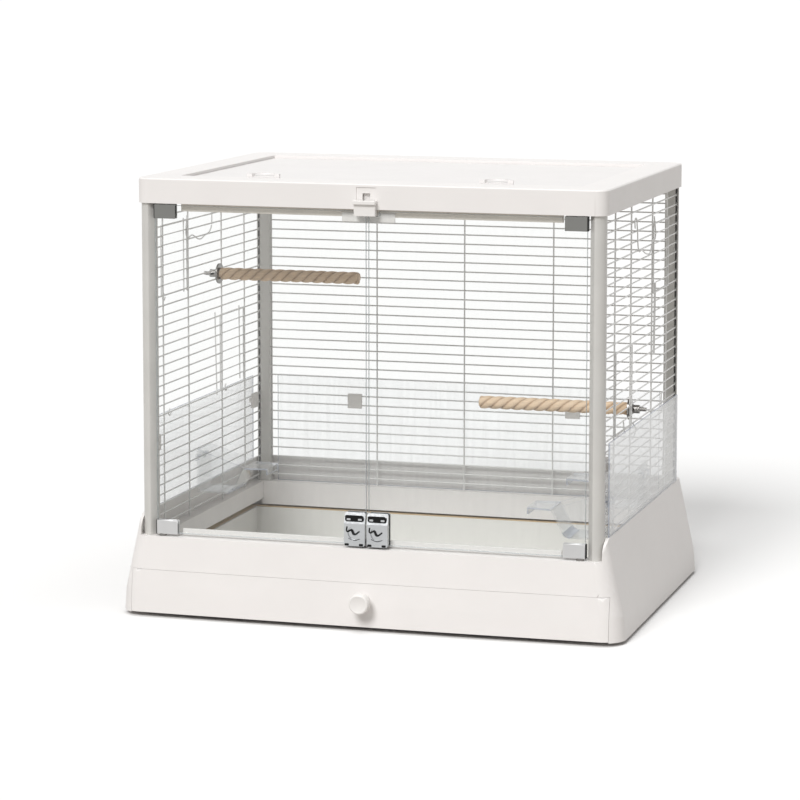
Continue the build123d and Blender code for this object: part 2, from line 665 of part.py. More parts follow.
def post_cap_room(side, front):
    """A rounded corner column that a post is cut from, so that it fits the corner of the roof."""
    radius = ROOF_INNER_RADIUS - FIT_GAP
    low = SILL_TOP if front else LEDGE_TOP
    column = rounded_plate(POST_OUTER_X, POST_OUTER_Y, radius, low, PLATE_BOTTOM)
    y = (-POST_OUTER_Y, FRONT_POST_BACK) if front else (BACK_POST_FRONT, POST_OUTER_Y)
    return column & block(spread(side, POST_INNER_X, POST_OUTER_X), y, (low, PLATE_BOTTOM))


def wire_groove(side, y, low=0.0):
    """The groove that holds the edge of a side wire wall."""
    half = HALF_WIRE + FIT_GAP
    x = spread(side, SIDE_WIRE_X - half, SIDE_WIRE_X + half)
    return block(x, y, (low, ROOF_TOP))


def front_post(side):
    """A front corner post with a chamfer beside the glass and a groove at its back."""
    post = post_cap_room(side, True)
    inner, front = POST_INNER_X, -POST_OUTER_Y
    corner = [(side * inner, front), (side * (inner + POST_CHAMFER), front), (side * inner, front + POST_CHAMFER)]
    wedge = Pos(0, 0, SILL_TOP) * extrude(closed_outline(corner), PLATE_BOTTOM - SILL_TOP)
    return post - wedge - wire_groove(side, (FRONT_POST_BACK - POST_GROOVE_DEPTH, FRONT_POST_BACK))


def back_post(side):
    """A back corner post with grooves for the side and the back wire walls."""
    front = BACK_POST_FRONT
    half = HALF_WIRE + FIT_GAP
    x = spread(side, POST_INNER_X, POST_INNER_X + POST_GROOVE_DEPTH)
    back_groove = block(x, (BACK_WIRE_Y - half, BACK_WIRE_Y + half), (0, ROOF_TOP))
    return post_cap_room(side, False) - wire_groove(side, (front, front + POST_GROOVE_DEPTH)) - back_groove


# Wire walls

def row_heights():
    """All horizontal wires from the ledge to the roof."""
    count = int((MESH_TOP - EDGE_BAR - FIRST_ROW) / WIRE_PITCH) + 1
    return [FIRST_ROW + row * WIRE_PITCH for row in range(count)]


def nearest_row(height):
    """The height of the horizontal wire nearest to a height."""
    return min(row_heights(), key=lambda row: abs(row - height))


def ladder(low, high, bars, edge_low, edge_high):
    """The clear spans between bars from low to high, each as (start, end)."""
    starts = [low + edge_low] + [bar + HALF_WIRE for bar in bars]
    ends = [bar - HALF_WIRE for bar in bars] + [high - edge_high]
    return [(start, end) for start, end in zip(starts, ends) if end - start > WIRE_THICKNESS]


def wire_face(across, up, columns, rows, hatches=()):
    """A flat net: one face with a hole for each gap, and one larger hole for each hatch."""
    outline = Wire.make_polygon([(across[0], up[0]), (across[1], up[0]), (across[1], up[1]), (across[0], up[1])])
    holes = []
    for start, end in ladder(*across, columns, EDGE_BAR, EDGE_BAR):
        for low, high in ladder(*up, rows, EDGE_BAR, EDGE_BAR):
            covered = any(a <= start and end <= b and c < high and low < d for (a, b), (c, d) in hatches)
            if not covered:
                holes.append(((start, end), (low, high)))
    holes.extend(hatches)
    corners = [[(a, c), (b, c), (b, d), (a, d)] for (a, b), (c, d) in holes]
    return Face(outline, [Wire.make_polygon(points) for points in corners])


def hatch_holes():
    """The two feeding hatches in a side wall, as drawn for the right side."""
    upper_y = (SIDE_COLUMNS[2] + HALF_WIRE, SIDE_COLUMNS[3] - HALF_WIRE)
    lower_y = (SIDE_COLUMNS[0] + HALF_WIRE, SIDE_COLUMNS[1] - HALF_WIRE)
    holes = []
    for across, (low, high) in ((upper_y, UPPER_HATCH_HEIGHTS), (lower_y, LOWER_HATCH_HEIGHTS)):
        holes.append((across, (nearest_row(low) + HALF_WIRE, nearest_row(high) - HALF_WIRE)))
    return holes


def wire_wall_side(side):
    """A side wall of wire, whose edges stand in the posts' grooves."""
    front = FRONT_POST_BACK - POST_GROOVE_DEPTH + FIT_GAP
    back = BACK_POST_FRONT + POST_GROOVE_DEPTH - FIT_GAP
    across = (front, back) if side == RIGHT else (-back, -front)
    net = wire_face(across, (MESH_BOTTOM, MESH_TOP), SIDE_COLUMNS, row_heights(), hatch_holes())
    return side_turn(prism_x(net, SIDE_WIRE_X - HALF_WIRE, SIDE_WIRE_X + HALF_WIRE), side)


def wire_wall_back():
    """The back wall of wire."""
    half = POST_INNER_X + POST_GROOVE_DEPTH - FIT_GAP
    net = wire_face((-half, half), (MESH_BOTTOM, MESH_TOP), BACK_COLUMNS, row_heights())
    return prism_y(net, BACK_WIRE_Y - HALF_WIRE, BACK_WIRE_Y + HALF_WIRE)


def hatch(side, columns, heights):
    """A wire hatch that slides up outside a side wall."""
    start, end = columns
    across = (start - HATCH_OVERLAP, end + HATCH_OVERLAP)
    low, high = nearest_row(heights[0]), nearest_row(heights[1])
    up = (low - HALF_WIRE, high + HALF_WIRE)
    bars = [row for row in row_heights() if low < row < high]
    net = wire_face(across, up, [], bars)
    near = SIDE_WIRE_X + HALF_WIRE + FIT_GAP
    return side_turn(prism_x(net, near, near + HATCH_THICKNESS), side)


# Glass doors

def glass_pane(side):
    """One glass door, notched at its inner top corner behind the latch."""
    pane = block((GLASS_MIDDLE_GAP, GLASS_OUTER), (GLASS_FRONT, GLASS_BACK), (GLASS_BOTTOM, GLASS_TOP))
    notch_x = LATCH_LEDGE_WIDTH / 2 + 2 * FIT_GAP
    notch = block((GLASS_MIDDLE_GAP, notch_x), (GLASS_FRONT, GLASS_BACK), (LATCH_BOTTOM - 2 * FIT_GAP, GLASS_TOP))
    return side_mirror(pane - notch, side)


def clip_pair(side):
    """The two folded clips that hold the outer corners of a glass door."""
    x = (CLIP_INNER_X, GLASS_OUTER)
    y = (GLASS_FRONT - CLIP_WALL, GLASS_BACK + CLIP_WALL)
    glass = block((0, GLASS_OUTER), (GLASS_FRONT, GLASS_BACK), (GLASS_BOTTOM, GLASS_TOP))
    top = block(x, y, (CLIP_TOP - CLIP_HEIGHT, CLIP_TOP)) - glass
    bottom = block(x, y, (CLIP_BOTTOM, CLIP_BOTTOM + CLIP_HEIGHT)) - glass
    return [side_mirror(top, side), side_mirror(bottom, side)]


def end_caps(side):
    """The black caps on the outer ends of the clips."""
    x = (GLASS_OUTER, GLASS_OUTER + END_CAP)
    y = (GLASS_FRONT - CLIP_WALL / 2, GLASS_BACK + CLIP_WALL / 2)
    top = block(x, y, (CLIP_TOP - CLIP_HEIGHT, CLIP_TOP))
    bottom = block(x, y, (CLIP_BOTTOM, CLIP_BOTTOM + CLIP_HEIGHT))
    return [side_mirror(top, side), side_mirror(bottom, side)]


def hinge_pins(side):
    """The pivot pins: one up into the header, and one with a collar down into the sill."""
    x = side * HINGE_X
    top = cylinder_z(PIN_RADIUS, CLIP_TOP, SKIRT_BOTTOM + PIN_LENGTH, x, HINGE_Y)
    collar = cylinder_z(PIN_COLLAR_RADIUS, SILL_TOP + FIT_GAP, CLIP_BOTTOM, x, HINGE_Y)
    shank = cylinder_z(PIN_RADIUS, SILL_TOP - PIN_LENGTH, CLIP_BOTTOM, x, HINGE_Y)
    return [top, collar + shank]


def door_lock(side):
    """The bright clamp on the lower inner corner of a glass door, bevelled above a round dish."""
    inner = GLASS_MIDDLE_GAP - FIT_GAP
    front = GLASS_FRONT - LOCK_FRONT
    top = LOCK_BOTTOM + LOCK_HEIGHT
    body = block((inner, inner + LOCK_WIDTH), (front, LOCK_REAR_Y), (LOCK_BOTTOM, top))
    body = fillet(body.edges().filter_by(Axis.Y), LOCK_CORNER)
    bevel = [(front, top - LOCK_BEVEL_HEIGHT), (front + LOCK_BEVEL, top), (front, top)]
    body = body - prism_x(closed_outline(bevel), inner, inner + LOCK_WIDTH)
    middle = inner + LOCK_WIDTH / 2
    dish = Pos(middle, front, LOCK_BOTTOM + LOCK_DISH_HEIGHT) * (
        Rotation(90, 0, 0) * Cylinder(LOCK_DISH_RADIUS, 2 * LOCK_DISH_DEPTH)
    )
    glass = block((GLASS_MIDDLE_GAP, GLASS_OUTER), (GLASS_FRONT, GLASS_BACK), (GLASS_BOTTOM, GLASS_TOP))
    return side_mirror(body - dish - glass, side)


# Perches

def perch_start():
    """The distance from the middle of the cage to the perch's end at the wire wall."""
    return SIDE_WIRE_X - HALF_WIRE - INNER_WASHER_THICKNESS


def perch(side, y, z):
    """A round wooden perch that stands out from one side wall."""
    start = side * perch_start()
    end = side * (perch_start() - PERCH_LENGTH)
    bar = cylinder_x(PERCH_RADIUS, start, end, y, z)
    return chamfer(bar.edges().filter_by(GeomType.CIRCLE), PERCH_RADIUS / 6)


def washers(side, y, z):
    """The wide washer inside and the small washer outside the wire wall."""
    inner = cylinder_x(INNER_WASHER_RADIUS, side * perch_start(), side * (SIDE_WIRE_X - HALF_WIRE), y, z)
    outer_start = SIDE_WIRE_X + HALF_WIRE
    outer = cylinder_x(OUTER_WASHER_RADIUS, side * outer_start, side * (outer_start + OUTER_WASHER_THICKNESS), y, z)
    hole = cylinder_x(BOLT_RADIUS + RUN_GAP, side * perch_start(), side * (outer_start + NUT_LENGTH), y, z)
    return [inner - hole, outer - hole]


def nut_start():
    """The distance from the middle of the cage to the inner face of the wing nut."""
    return SIDE_WIRE_X + HALF_WIRE + OUTER_WASHER_THICKNESS + FIT_GAP


def perch_bolt(side, y, z):
    """The bolt from the perch's end, through the wire wall and the wing nut."""
    return cylinder_x(BOLT_RADIUS, side * perch_start(), side * (nut_start() + NUT_LENGTH + BOLT_TIP), y, z)


def wing_nut(side, y, z):
    """The wing nut outside the wire wall."""
    start, end = nut_start(), nut_start() + NUT_LENGTH
    hub = cylinder_x(NUT_RADIUS, side * start, side * end, y, z)
    half_span = NUT_WING_SPAN / 2
    wing_x = spread(side, start + NUT_LENGTH / 3, end + NUT_LENGTH / 3)
    half = NUT_WING_THICKNESS / 2
    wings = block(wing_x, (y - half_span, y + half_span), (z - half, z + half))
    wings = fillet(wings.edges().filter_by(Axis.Z), NUT_LENGTH / 4)
    gap_x = spread(side, end, end + NUT_LENGTH)
    gap = block(gap_x, (y - NUT_RADIUS, y + NUT_RADIUS), (z - half, z + half))
    bore = cylinder_x(BOLT_RADIUS + RUN_GAP, side * start, side * (end + NUT_LENGTH), y, z)
    return hub + (wings - gap) - bore


# Feeders and guards

def feeder_profile(inset, above):
    """The cup's side view: a sloping front and a rounded foot, drawn in by an inset and raised at the top."""
    wire = SIDE_WIRE_X - HALF_WIRE - FEEDER_BACK_GAP
    slope = (FEEDER_REACH - FEEDER_FOOT_REACH) / (FEEDER_BRIM - FEEDER_BOTTOM)
    drawn_in = inset * math.hypot(1, slope)
    front = wire - FEEDER_REACH + drawn_in - above * slope
    foot = wire - FEEDER_FOOT_REACH + drawn_in - inset * slope
    low = FEEDER_BOTTOM + inset
    back = wire - inset
    points = [(back, FEEDER_TOP + above), (back, low), (foot, low), (front, FEEDER_BRIM + above)]
    outline = closed_outline(points)
    corner = outline.vertices().sort_by_distance((foot, low, 0))[0]
    return fillet(corner, FEEDER_FOOT_RADIUS - inset)


def feeder_lip():
    """The flat lip that stands out in front of the cup, with a turned-down edge."""
    root = SIDE_WIRE_X - HALF_WIRE - FEEDER_BACK_GAP - FEEDER_REACH
    tip = root - FEEDER_LIP
    half = FEEDER_WIDTH / 2
    narrow = half - FEEDER_LIP_TAPER
    end = root + FEEDER_WALL / 2
    outline = closed_outline([(tip, -narrow), (end, -half), (end, half), (tip, narrow)])
    plate = Pos(0, 0, FEEDER_BRIM - FEEDER_LIP_THICKNESS) * extrude(outline, FEEDER_LIP_THICKNESS)
    edge = block((tip, tip + FEEDER_WALL), (-narrow, narrow), (FEEDER_BRIM - FEEDER_LIP_DROP, FEEDER_BRIM))
    return plate + edge


def feeder(side, y):
    """A clear feeding cup that hangs by two hooks on a wire of the side wall."""
    half = FEEDER_WIDTH / 2
    outer = prism_y(feeder_profile(0.0, 0.0), y - half, y + half)
    inner = prism_y(feeder_profile(FEEDER_WALL, FEEDER_WALL), y - half + FEEDER_WALL, y + half - FEEDER_WALL)
    cup = outer - inner + Pos(0, y, 0) * feeder_lip()
    back = SIDE_WIRE_X - HALF_WIRE - FEEDER_BACK_GAP
    low = hook_wire_top() + FIT_GAP
    outside = SIDE_WIRE_X + HALF_WIRE + FIT_GAP
    for offset in (-HOOK_OFFSET, HOOK_OFFSET):
        across = (y + offset - HOOK_WIDTH / 2, y + offset + HOOK_WIDTH / 2)
        arm = block((back, outside + HOOK_THICKNESS), across, (low, low + HOOK_THICKNESS))
        tip = block((outside, outside + HOOK_THICKNESS), across, (low - HOOK_DROP, low + HOOK_THICKNESS))
        cup = cup + arm + tip
    return side_mirror(cup, side)


def hook_wire_top():
    """The top of the highest wire that lies under the feeder's rim with room for the hook."""
    fitting = [height for height in row_heights() if height + HALF_WIRE + HOOK_THICKNESS < FEEDER_TOP]
    return fitting[-1] + HALF_WIRE


def side_guard(side):
    """The clear seed guard outside a side wall, standing on the base's rim."""
    x = spread(side, GUARD_INNER_X, GUARD_INNER_X + GUARD_THICKNESS)
    y = (FRONT_POST_BACK + SIDE_GUARD_FRONT_GAP, BACK_POST_FRONT - SIDE_GUARD_BACK_GAP)
    return block(x, y, (BASE_TOP, GUARD_TOP))


def back_guard():
    """The clear seed guard behind the back wall, standing on the ledge."""
    front = BACK_WIRE_Y + HALF_WIRE + GUARD_GAP
    half = POST_INNER_X - BACK_GUARD_POST_GAP
    return block((-half, half), (front, front + GUARD_THICKNESS), (LEDGE_TOP, GUARD_TOP))


def button_height():
    """The middle of the gap between wires that the guards' buttons pass through."""
    return nearest_row(BASE_TOP + BUTTON_ABOVE_BASE - WIRE_PITCH / 2) + WIRE_PITCH / 2


def side_buttons(side):
    """The white buttons that hold a side guard through the wires."""
    half, stem, z = BUTTON_SIZE / 2, BUTTON_STEM / 2, button_height()
    inner = SIDE_WIRE_X - HALF_WIRE
    buttons = []
    for y in SIDE_BUTTON_Y:
        head = block(spread(side, inner - BUTTON_THICKNESS, inner), (y - half, y + half), (z - half, z + half))
        shank = block(spread(side, inner, GUARD_INNER_X), (y - stem, y + stem), (z - stem, z + stem))
        buttons.append(head + shank)
    return buttons


def back_buttons():
    """The white buttons that hold the back guard through the wires."""
    half, stem, z = BUTTON_SIZE / 2, BUTTON_STEM / 2, button_height()
    inner = BACK_WIRE_Y - HALF_WIRE
    outer = BACK_WIRE_Y + HALF_WIRE + GUARD_GAP
    buttons = []
    for x in BACK_BUTTON_X:
        head = block((x - half, x + half), (inner - BUTTON_THICKNESS, inner), (z - half, z + half))
        shank = block((x - stem, x + stem), (inner, outer), (z - stem, z + stem))
        buttons.append(head + shank)
    return buttons


def build_nodes():
    """Every piece of the cage by its node name."""
    nodes = {
        "base_shell": base_shell(),
        "foot_pads": foot_pads(),
        "sill_strip": sill_strip(),
        "drawer_front": drawer_front(),
        "drawer_knob": drawer_knob(),
        "drawer_tray": drawer_tray(),
        "tray_trim": tray_trim(),
        "roof_frame": roof_frame(),
        "roof_lid": roof_lid(),
        "latch_slider": latch_slider(),
        "latch_keeper": latch_keeper(),
        "door_stop_rail": door_stop_rail(),
        "wire_wall_back": wire_wall_back(),
        "guard_back": back_guard(),
        "guard_back_buttons": back_buttons(),
    }
    upper_columns = (SIDE_COLUMNS[2], SIDE_COLUMNS[3])
    lower_columns = (SIDE_COLUMNS[0], SIDE_COLUMNS[1])
    perch_places = {LEFT: (LEFT_PERCH_Y, LEFT_PERCH_HEIGHT), RIGHT: (RIGHT_PERCH_Y, RIGHT_PERCH_HEIGHT)}
    for word, side in SIDES.items():
        place = perch_places[side]
        nodes[f"post_front_{word}"] = front_post(side)
        nodes[f"post_back_{word}"] = back_post(side)
        nodes[f"wire_wall_{word}"] = wire_wall_side(side)
        nodes[f"hatch_upper_{word}"] = hatch(side, upper_columns, UPPER_HATCH_HEIGHTS)
        nodes[f"hatch_lower_{word}"] = hatch(side, lower_columns, LOWER_HATCH_HEIGHTS)
        nodes[f"glass_door_{word}"] = glass_pane(side)
        nodes[f"hinge_clips_{word}"] = clip_pair(side)
        nodes[f"hinge_end_caps_{word}"] = end_caps(side)
        nodes[f"hinge_pins_{word}"] = hinge_pins(side)
        nodes[f"door_lock_{word}"] = door_lock(side)
        nodes[f"perch_{word}"] = perch(side, *place)
        nodes[f"perch_washers_{word}"] = washers(side, *place)
        nodes[f"perch_bolt_{word}"] = perch_bolt(side, *place)
        nodes[f"wing_nut_{word}"] = wing_nut(side, *place)
        nodes[f"guard_{word}"] = side_guard(side)
        nodes[f"guard_buttons_{word}"] = side_buttons(side)
    for name, (side, y) in FEEDER_CENTRES.items():
        nodes[name] = feeder(side, y)
    return nodes


def row_shift():
    """How far the cage moves back so that the origin lies under the middle of its box, knob included."""
    knob_tip = knob_face_y() - KNOB_PROUD
    return -(knob_tip + BASE_DEPTH / 2) / 2


os.makedirs("parts", exist_ok=True)
for name, shape in build_nodes().items():
    solid = Compound(children=shape) if isinstance(shape, list) else shape
    export_step(Pos(0, row_shift(), 0) * solid, f"parts/{name}.step")
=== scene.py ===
"""Draws the glass parrot cage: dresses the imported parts, adds the round wires and sets up the studio."""

import json
import logging
import math
from collections.abc import Callable, Iterable, Sequence
from dataclasses import dataclass, field
from enum import Enum
from functools import partial
from typing import Protocol

import bmesh
import bpy
from mathutils import Matrix, Vector

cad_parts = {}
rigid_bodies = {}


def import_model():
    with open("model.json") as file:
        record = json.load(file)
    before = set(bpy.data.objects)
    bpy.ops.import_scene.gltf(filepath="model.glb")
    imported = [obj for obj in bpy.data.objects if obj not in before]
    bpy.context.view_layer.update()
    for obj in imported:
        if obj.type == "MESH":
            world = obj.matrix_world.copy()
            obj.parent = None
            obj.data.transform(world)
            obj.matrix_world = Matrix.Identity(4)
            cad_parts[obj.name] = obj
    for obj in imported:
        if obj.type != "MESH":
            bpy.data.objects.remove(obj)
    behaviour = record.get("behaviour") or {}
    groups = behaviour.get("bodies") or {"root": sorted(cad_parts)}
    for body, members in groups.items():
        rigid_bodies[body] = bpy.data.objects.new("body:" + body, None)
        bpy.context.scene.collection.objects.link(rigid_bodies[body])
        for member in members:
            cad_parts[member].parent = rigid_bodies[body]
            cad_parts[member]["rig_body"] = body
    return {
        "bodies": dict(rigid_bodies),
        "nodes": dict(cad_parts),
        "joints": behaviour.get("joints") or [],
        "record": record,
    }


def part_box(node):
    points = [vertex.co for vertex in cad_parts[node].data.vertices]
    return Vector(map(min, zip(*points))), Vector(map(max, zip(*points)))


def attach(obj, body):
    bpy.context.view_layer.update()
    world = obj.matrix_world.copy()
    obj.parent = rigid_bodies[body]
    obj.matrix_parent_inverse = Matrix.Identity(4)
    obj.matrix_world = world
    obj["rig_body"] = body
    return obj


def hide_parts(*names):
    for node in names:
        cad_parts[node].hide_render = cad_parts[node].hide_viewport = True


MM = 0.001
LOG = logging.getLogger("cage")

# Vertices closer than this, in metres, become one.
MERGE_DISTANCE = 1e-6
# Faces that turn by less than this, in degrees, become one.
FLAT_ANGLE = 0.5
# Round pieces are shaded smooth where their faces turn by less than this, in degrees.
ROUND_ANGLE = 60.0

Place = tuple[float, float]
Point = tuple[float, float, float]
Colour = tuple[float, float, float]
Paint = Colour | bpy.types.NodeSocket


def mm(x: float, y: float, z: float) -> Vector:
    """Turns millimetres into a point in metres.

    Args:
        x: the place along X in millimetres.
        y: the place along Y in millimetres.
        z: the height in millimetres.

    Returns:
        The point in metres.
    """
    return Vector((x, y, z)) * MM


def base_middle() -> float:
    """The Y of the base's middle in millimetres: the photo's sizes were measured from it."""
    low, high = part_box("foot_pads")
    return (low.y + high.y) / 2 / MM


class Side(Enum):
    """The two sides of the cage, as seen from the front."""

    LEFT = -1
    RIGHT = 1

    @property
    def word(self) -> str:
        """The side's word in the node names."""
        return self.name.lower()


# Materials


class Graph:
    """A material's node tree, with short ways to add and join nodes."""

    # Most values of a noise lie between these two.
    NOISE_LOW = 0.3
    NOISE_HIGH = 0.7

    def __init__(self, name: str) -> None:
        """Starts an empty tree.

        Args:
            name: the material's name.
        """
        self.material = bpy.data.materials.new(name)
        self.material.use_nodes = True
        self.tree = self.material.node_tree
        self.tree.nodes.clear()
        self.output = self.add("ShaderNodeOutputMaterial")
        self.place = self.add("ShaderNodeTexCoord").outputs["Object"]

    def add(self, kind: str, settings: dict | None = None, **values: object) -> bpy.types.Node:
        """Adds a node.

        Args:
            kind: the node's type name.
            settings: attributes of the node itself.
            **values: socket values, with the socket's name in lower case and _ for a space.

        Returns:
            The new node.
        """
        node = self.tree.nodes.new(kind)
        for key, value in (settings or {}).items():
            setattr(node, key, value)
        for key, value in values.items():
            self.socket(node, key).default_value = value
        return node

    @staticmethod
    def socket(node: bpy.types.Node, key: str) -> bpy.types.NodeSocket:
        """Finds a node's input.

        Args:
            node: the node.
            key: the input's name in lower case with _ for a space.

        Returns:
            The input.
        """
        for socket in node.inputs:
            if socket.name.lower().replace(" ", "_") == key and socket.enabled:
                return socket
        raise KeyError(key)

    def join(self, source: bpy.types.NodeSocket, node: bpy.types.Node, key: str) -> None:
        """Joins an output to a node's input."""
        self.tree.links.new(source, self.socket(node, key))

    def noise(self, size: float, detail: float = 3.0, stretch: Point = (1, 1, 1)) -> bpy.types.NodeSocket:
        """Adds a noise that follows the object's own place.

        Args:
            size: the size of its grains in millimetres.
            detail: how many finer layers it has.
            stretch: how much denser it is along each axis.

        Returns:
            The noise's value.
        """
        mapping = self.add("ShaderNodeMapping", scale=stretch)
        self.join(self.place, mapping, "vector")
        noise = self.add("ShaderNodeTexNoise", scale=1 / (size * MM), detail=detail)
        self.join(mapping.outputs[0], noise, "vector")
        return noise.outputs[0]

    def between(self, value: bpy.types.NodeSocket, low: float, high: float) -> bpy.types.NodeSocket:
        """Maps the middle of a noise's range to two numbers.

        Args:
            value: the noise.
            low: the number for its low values.
            high: the number for its high values.

        Returns:
            The mapped value.
        """
        ends = {"from_min": self.NOISE_LOW, "from_max": self.NOISE_HIGH, "to_min": low, "to_max": high}
        ramp = self.add("ShaderNodeMapRange", **ends)
        self.join(value, ramp, "value")
        return ramp.outputs[0]

    def blend(self, factor: bpy.types.NodeSocket, low: Paint, high: Paint) -> bpy.types.NodeSocket:
        """Blends two colours, given or made by nodes.

        Args:
            factor: the share of the second colour, from 0 to 1.
            low: the first colour.
            high: the second colour.

        Returns:
            The blended colour.
        """
        mix = self.add("ShaderNodeMix", {"data_type": "RGBA"})
        ends = [socket for socket in mix.inputs if socket.type == "RGBA"]
        for end, colour in zip(ends, (low, high)):
            if isinstance(colour, bpy.types.NodeSocket):
                self.tree.links.new(colour, end)
            else:
                end.default_value = (*colour, 1)
        self.tree.links.new(factor, mix.inputs[0])
        return next(socket for socket in mix.outputs if socket.type == "RGBA")

    def total(self, *values: bpy.types.NodeSocket) -> bpy.types.NodeSocket:
        """Adds several numbers and keeps the sum between 0 and 1.

        Args:
            *values: the numbers.

        Returns:
            The sum.
        """
        gathered = values[0]
        for value in values[1:]:
            step = self.add("ShaderNodeMath", {"operation": "ADD", "use_clamp": True})
            self.tree.links.new(gathered, step.inputs[0])
            self.tree.links.new(value, step.inputs[1])
            gathered = step.outputs[0]
        return gathered

    def bump(self, value: bpy.types.NodeSocket, depth: float) -> bpy.types.NodeSocket:
        """Turns a value into a relief.

        Args:
            value: the height, from 0 to 1.
            depth: the relief's depth in millimetres.

        Returns:
            The bent normal.
        """
        bump = self.add("ShaderNodeBump", strength=1.0, distance=depth * MM)
        self.join(value, bump, "height")
        return bump.outputs[0]

    def maths(self, operation: str, first: bpy.types.NodeSocket, second: float) -> bpy.types.NodeSocket:
        """Adds one step of arithmetic.

        Args:
            operation: the step's name.
            first: the first number.
            second: the fixed second number.

        Returns:
            The result, kept between 0 and 1.
        """
        step = self.add("ShaderNodeMath", {"operation": operation, "use_clamp": True})
        self.tree.links.new(first, step.inputs[0])
        step.inputs[1].default_value = second
        return step.outputs[0]

    def attribute(self, name: str) -> bpy.types.NodeSocket:
        """Reads a number that the mesh carries."""
        return self.add("ShaderNodeAttribute", {"attribute_name": name}).outputs["Fac"]

    def slant(self, power: float) -> bpy.types.NodeSocket:
        """How slanted the surface is to the eye, from 0 to 1, made steeper by a power."""
        weight = self.add("ShaderNodeLayerWeight", blend=0.5)
        return self.maths("POWER", weight.outputs["Facing"], power)

    def mixed(
        self,
        factor: bpy.types.NodeSocket,
        first: bpy.types.Node,
        second: bpy.types.Node,
    ) -> bpy.types.Node:
        """Mixes two shaders.

        Args:
            factor: the second shader's share, from 0 to 1.
            first: the first shader.
            second: the second shader.

        Returns:
            The mixed shader.
        """
        mix = self.add("ShaderNodeMixShader")
        self.tree.links.new(factor, mix.inputs[0])
        self.tree.links.new(first.outputs[0], mix.inputs[1])
        self.tree.links.new(second.outputs[0], mix.inputs[2])
        return mix

    def finish(self, shader: bpy.types.Node) -> bpy.types.Material:
        """Joins the last shader to the output and gives the material."""
        self.tree.links.new(shader.outputs[0], self.output.inputs["Surface"])
        return self.material


def shade(colour: Colour, factor: float) -> Colour:
    """A colour made lighter or darker by a factor."""
    return tuple(min(1.0, channel * factor) for channel in colour)


def spread(value: float, share: float) -> Place:
    """The ends of a range that reaches a share below and above a value."""
    return value * (1 - share), value * (1 + share)


@dataclass(frozen=True)
class Finish:
    """One finish. Each kind builds its own material."""

    name: str
    colour: Colour
    roughness: float = 0.4

    def build(self) -> bpy.types.Material:
        """Makes the material of this finish."""
        raise NotImplementedError

    def slight_change(self, graph: Graph, size: float, amount: float) -> bpy.types.NodeSocket:
        """The finish's colour with soft patches a little darker and lighter."""
        patches = graph.between(graph.noise(size), 0.0, 1.0)
        return graph.blend(patches, shade(self.colour, 1 - amount), shade(self.colour, 1 + amount))


@dataclass(frozen=True)
class Moulded(Finish):
    """Moulded plastic or rubber with a fine grain and a slightly uneven sheen."""

    grain: float = 0.35
    grain_depth: float = 0.012
    change: float = 0.012
    specular: float = 0.5
    patch: float = 60.0
    sheen_patch: float = 9.0
    sheen_change: float = 0.1

    def build(self) -> bpy.types.Material:
        """Makes the plastic's material.

        Returns:
            The material.
        """
        graph = Graph(self.name)
        shader = graph.add("ShaderNodeBsdfPrincipled", specular_ior_level=self.specular)
        graph.join(self.slight_change(graph, self.patch, self.change), shader, "base_color")
        sheen = graph.between(graph.noise(self.sheen_patch), *spread(self.roughness, self.sheen_change))
        graph.join(sheen, shader, "roughness")
        graph.join(graph.bump(graph.noise(self.grain, 2.0), self.grain_depth), shader, "normal")
        return graph.finish(shader)


@dataclass(frozen=True)
class Metal(Finish):
    """Metal, bare or painted, with lines drawn along one axis and a darker colour of painted shade on
    marked faces.
    """

    stretch: Point = (1, 1, 0.03)
    line_size: float = 0.4
    line_depth: float = 0.004
    metallic: float = 1.0
    coat: float = 0.0
    marked_colour: Colour | None = None
    patch: float = 35.0
    change: float = 0.03
    line_change: float = 0.2

    def build(self) -> bpy.types.Material:
        """Makes the metal's material.

        Returns:
            The material.
        """
        graph = Graph(self.name)
        shader = graph.add("ShaderNodeBsdfPrincipled", metallic=self.metallic, coat_weight=self.coat)
        lines = graph.noise(self.line_size, 2.0, self.stretch)
        colour = self.slight_change(graph, self.patch, self.change)
        # Marked faces take the darker colour: painted shade.
        if self.marked_colour:
            colour = graph.blend(graph.attribute("marked"), colour, self.marked_colour)
        graph.join(colour, shader, "base_color")
        graph.join(graph.between(lines, *spread(self.roughness, self.line_change)), shader, "roughness")
        graph.join(graph.bump(lines, self.line_depth), shader, "normal")
        return graph.finish(shader)


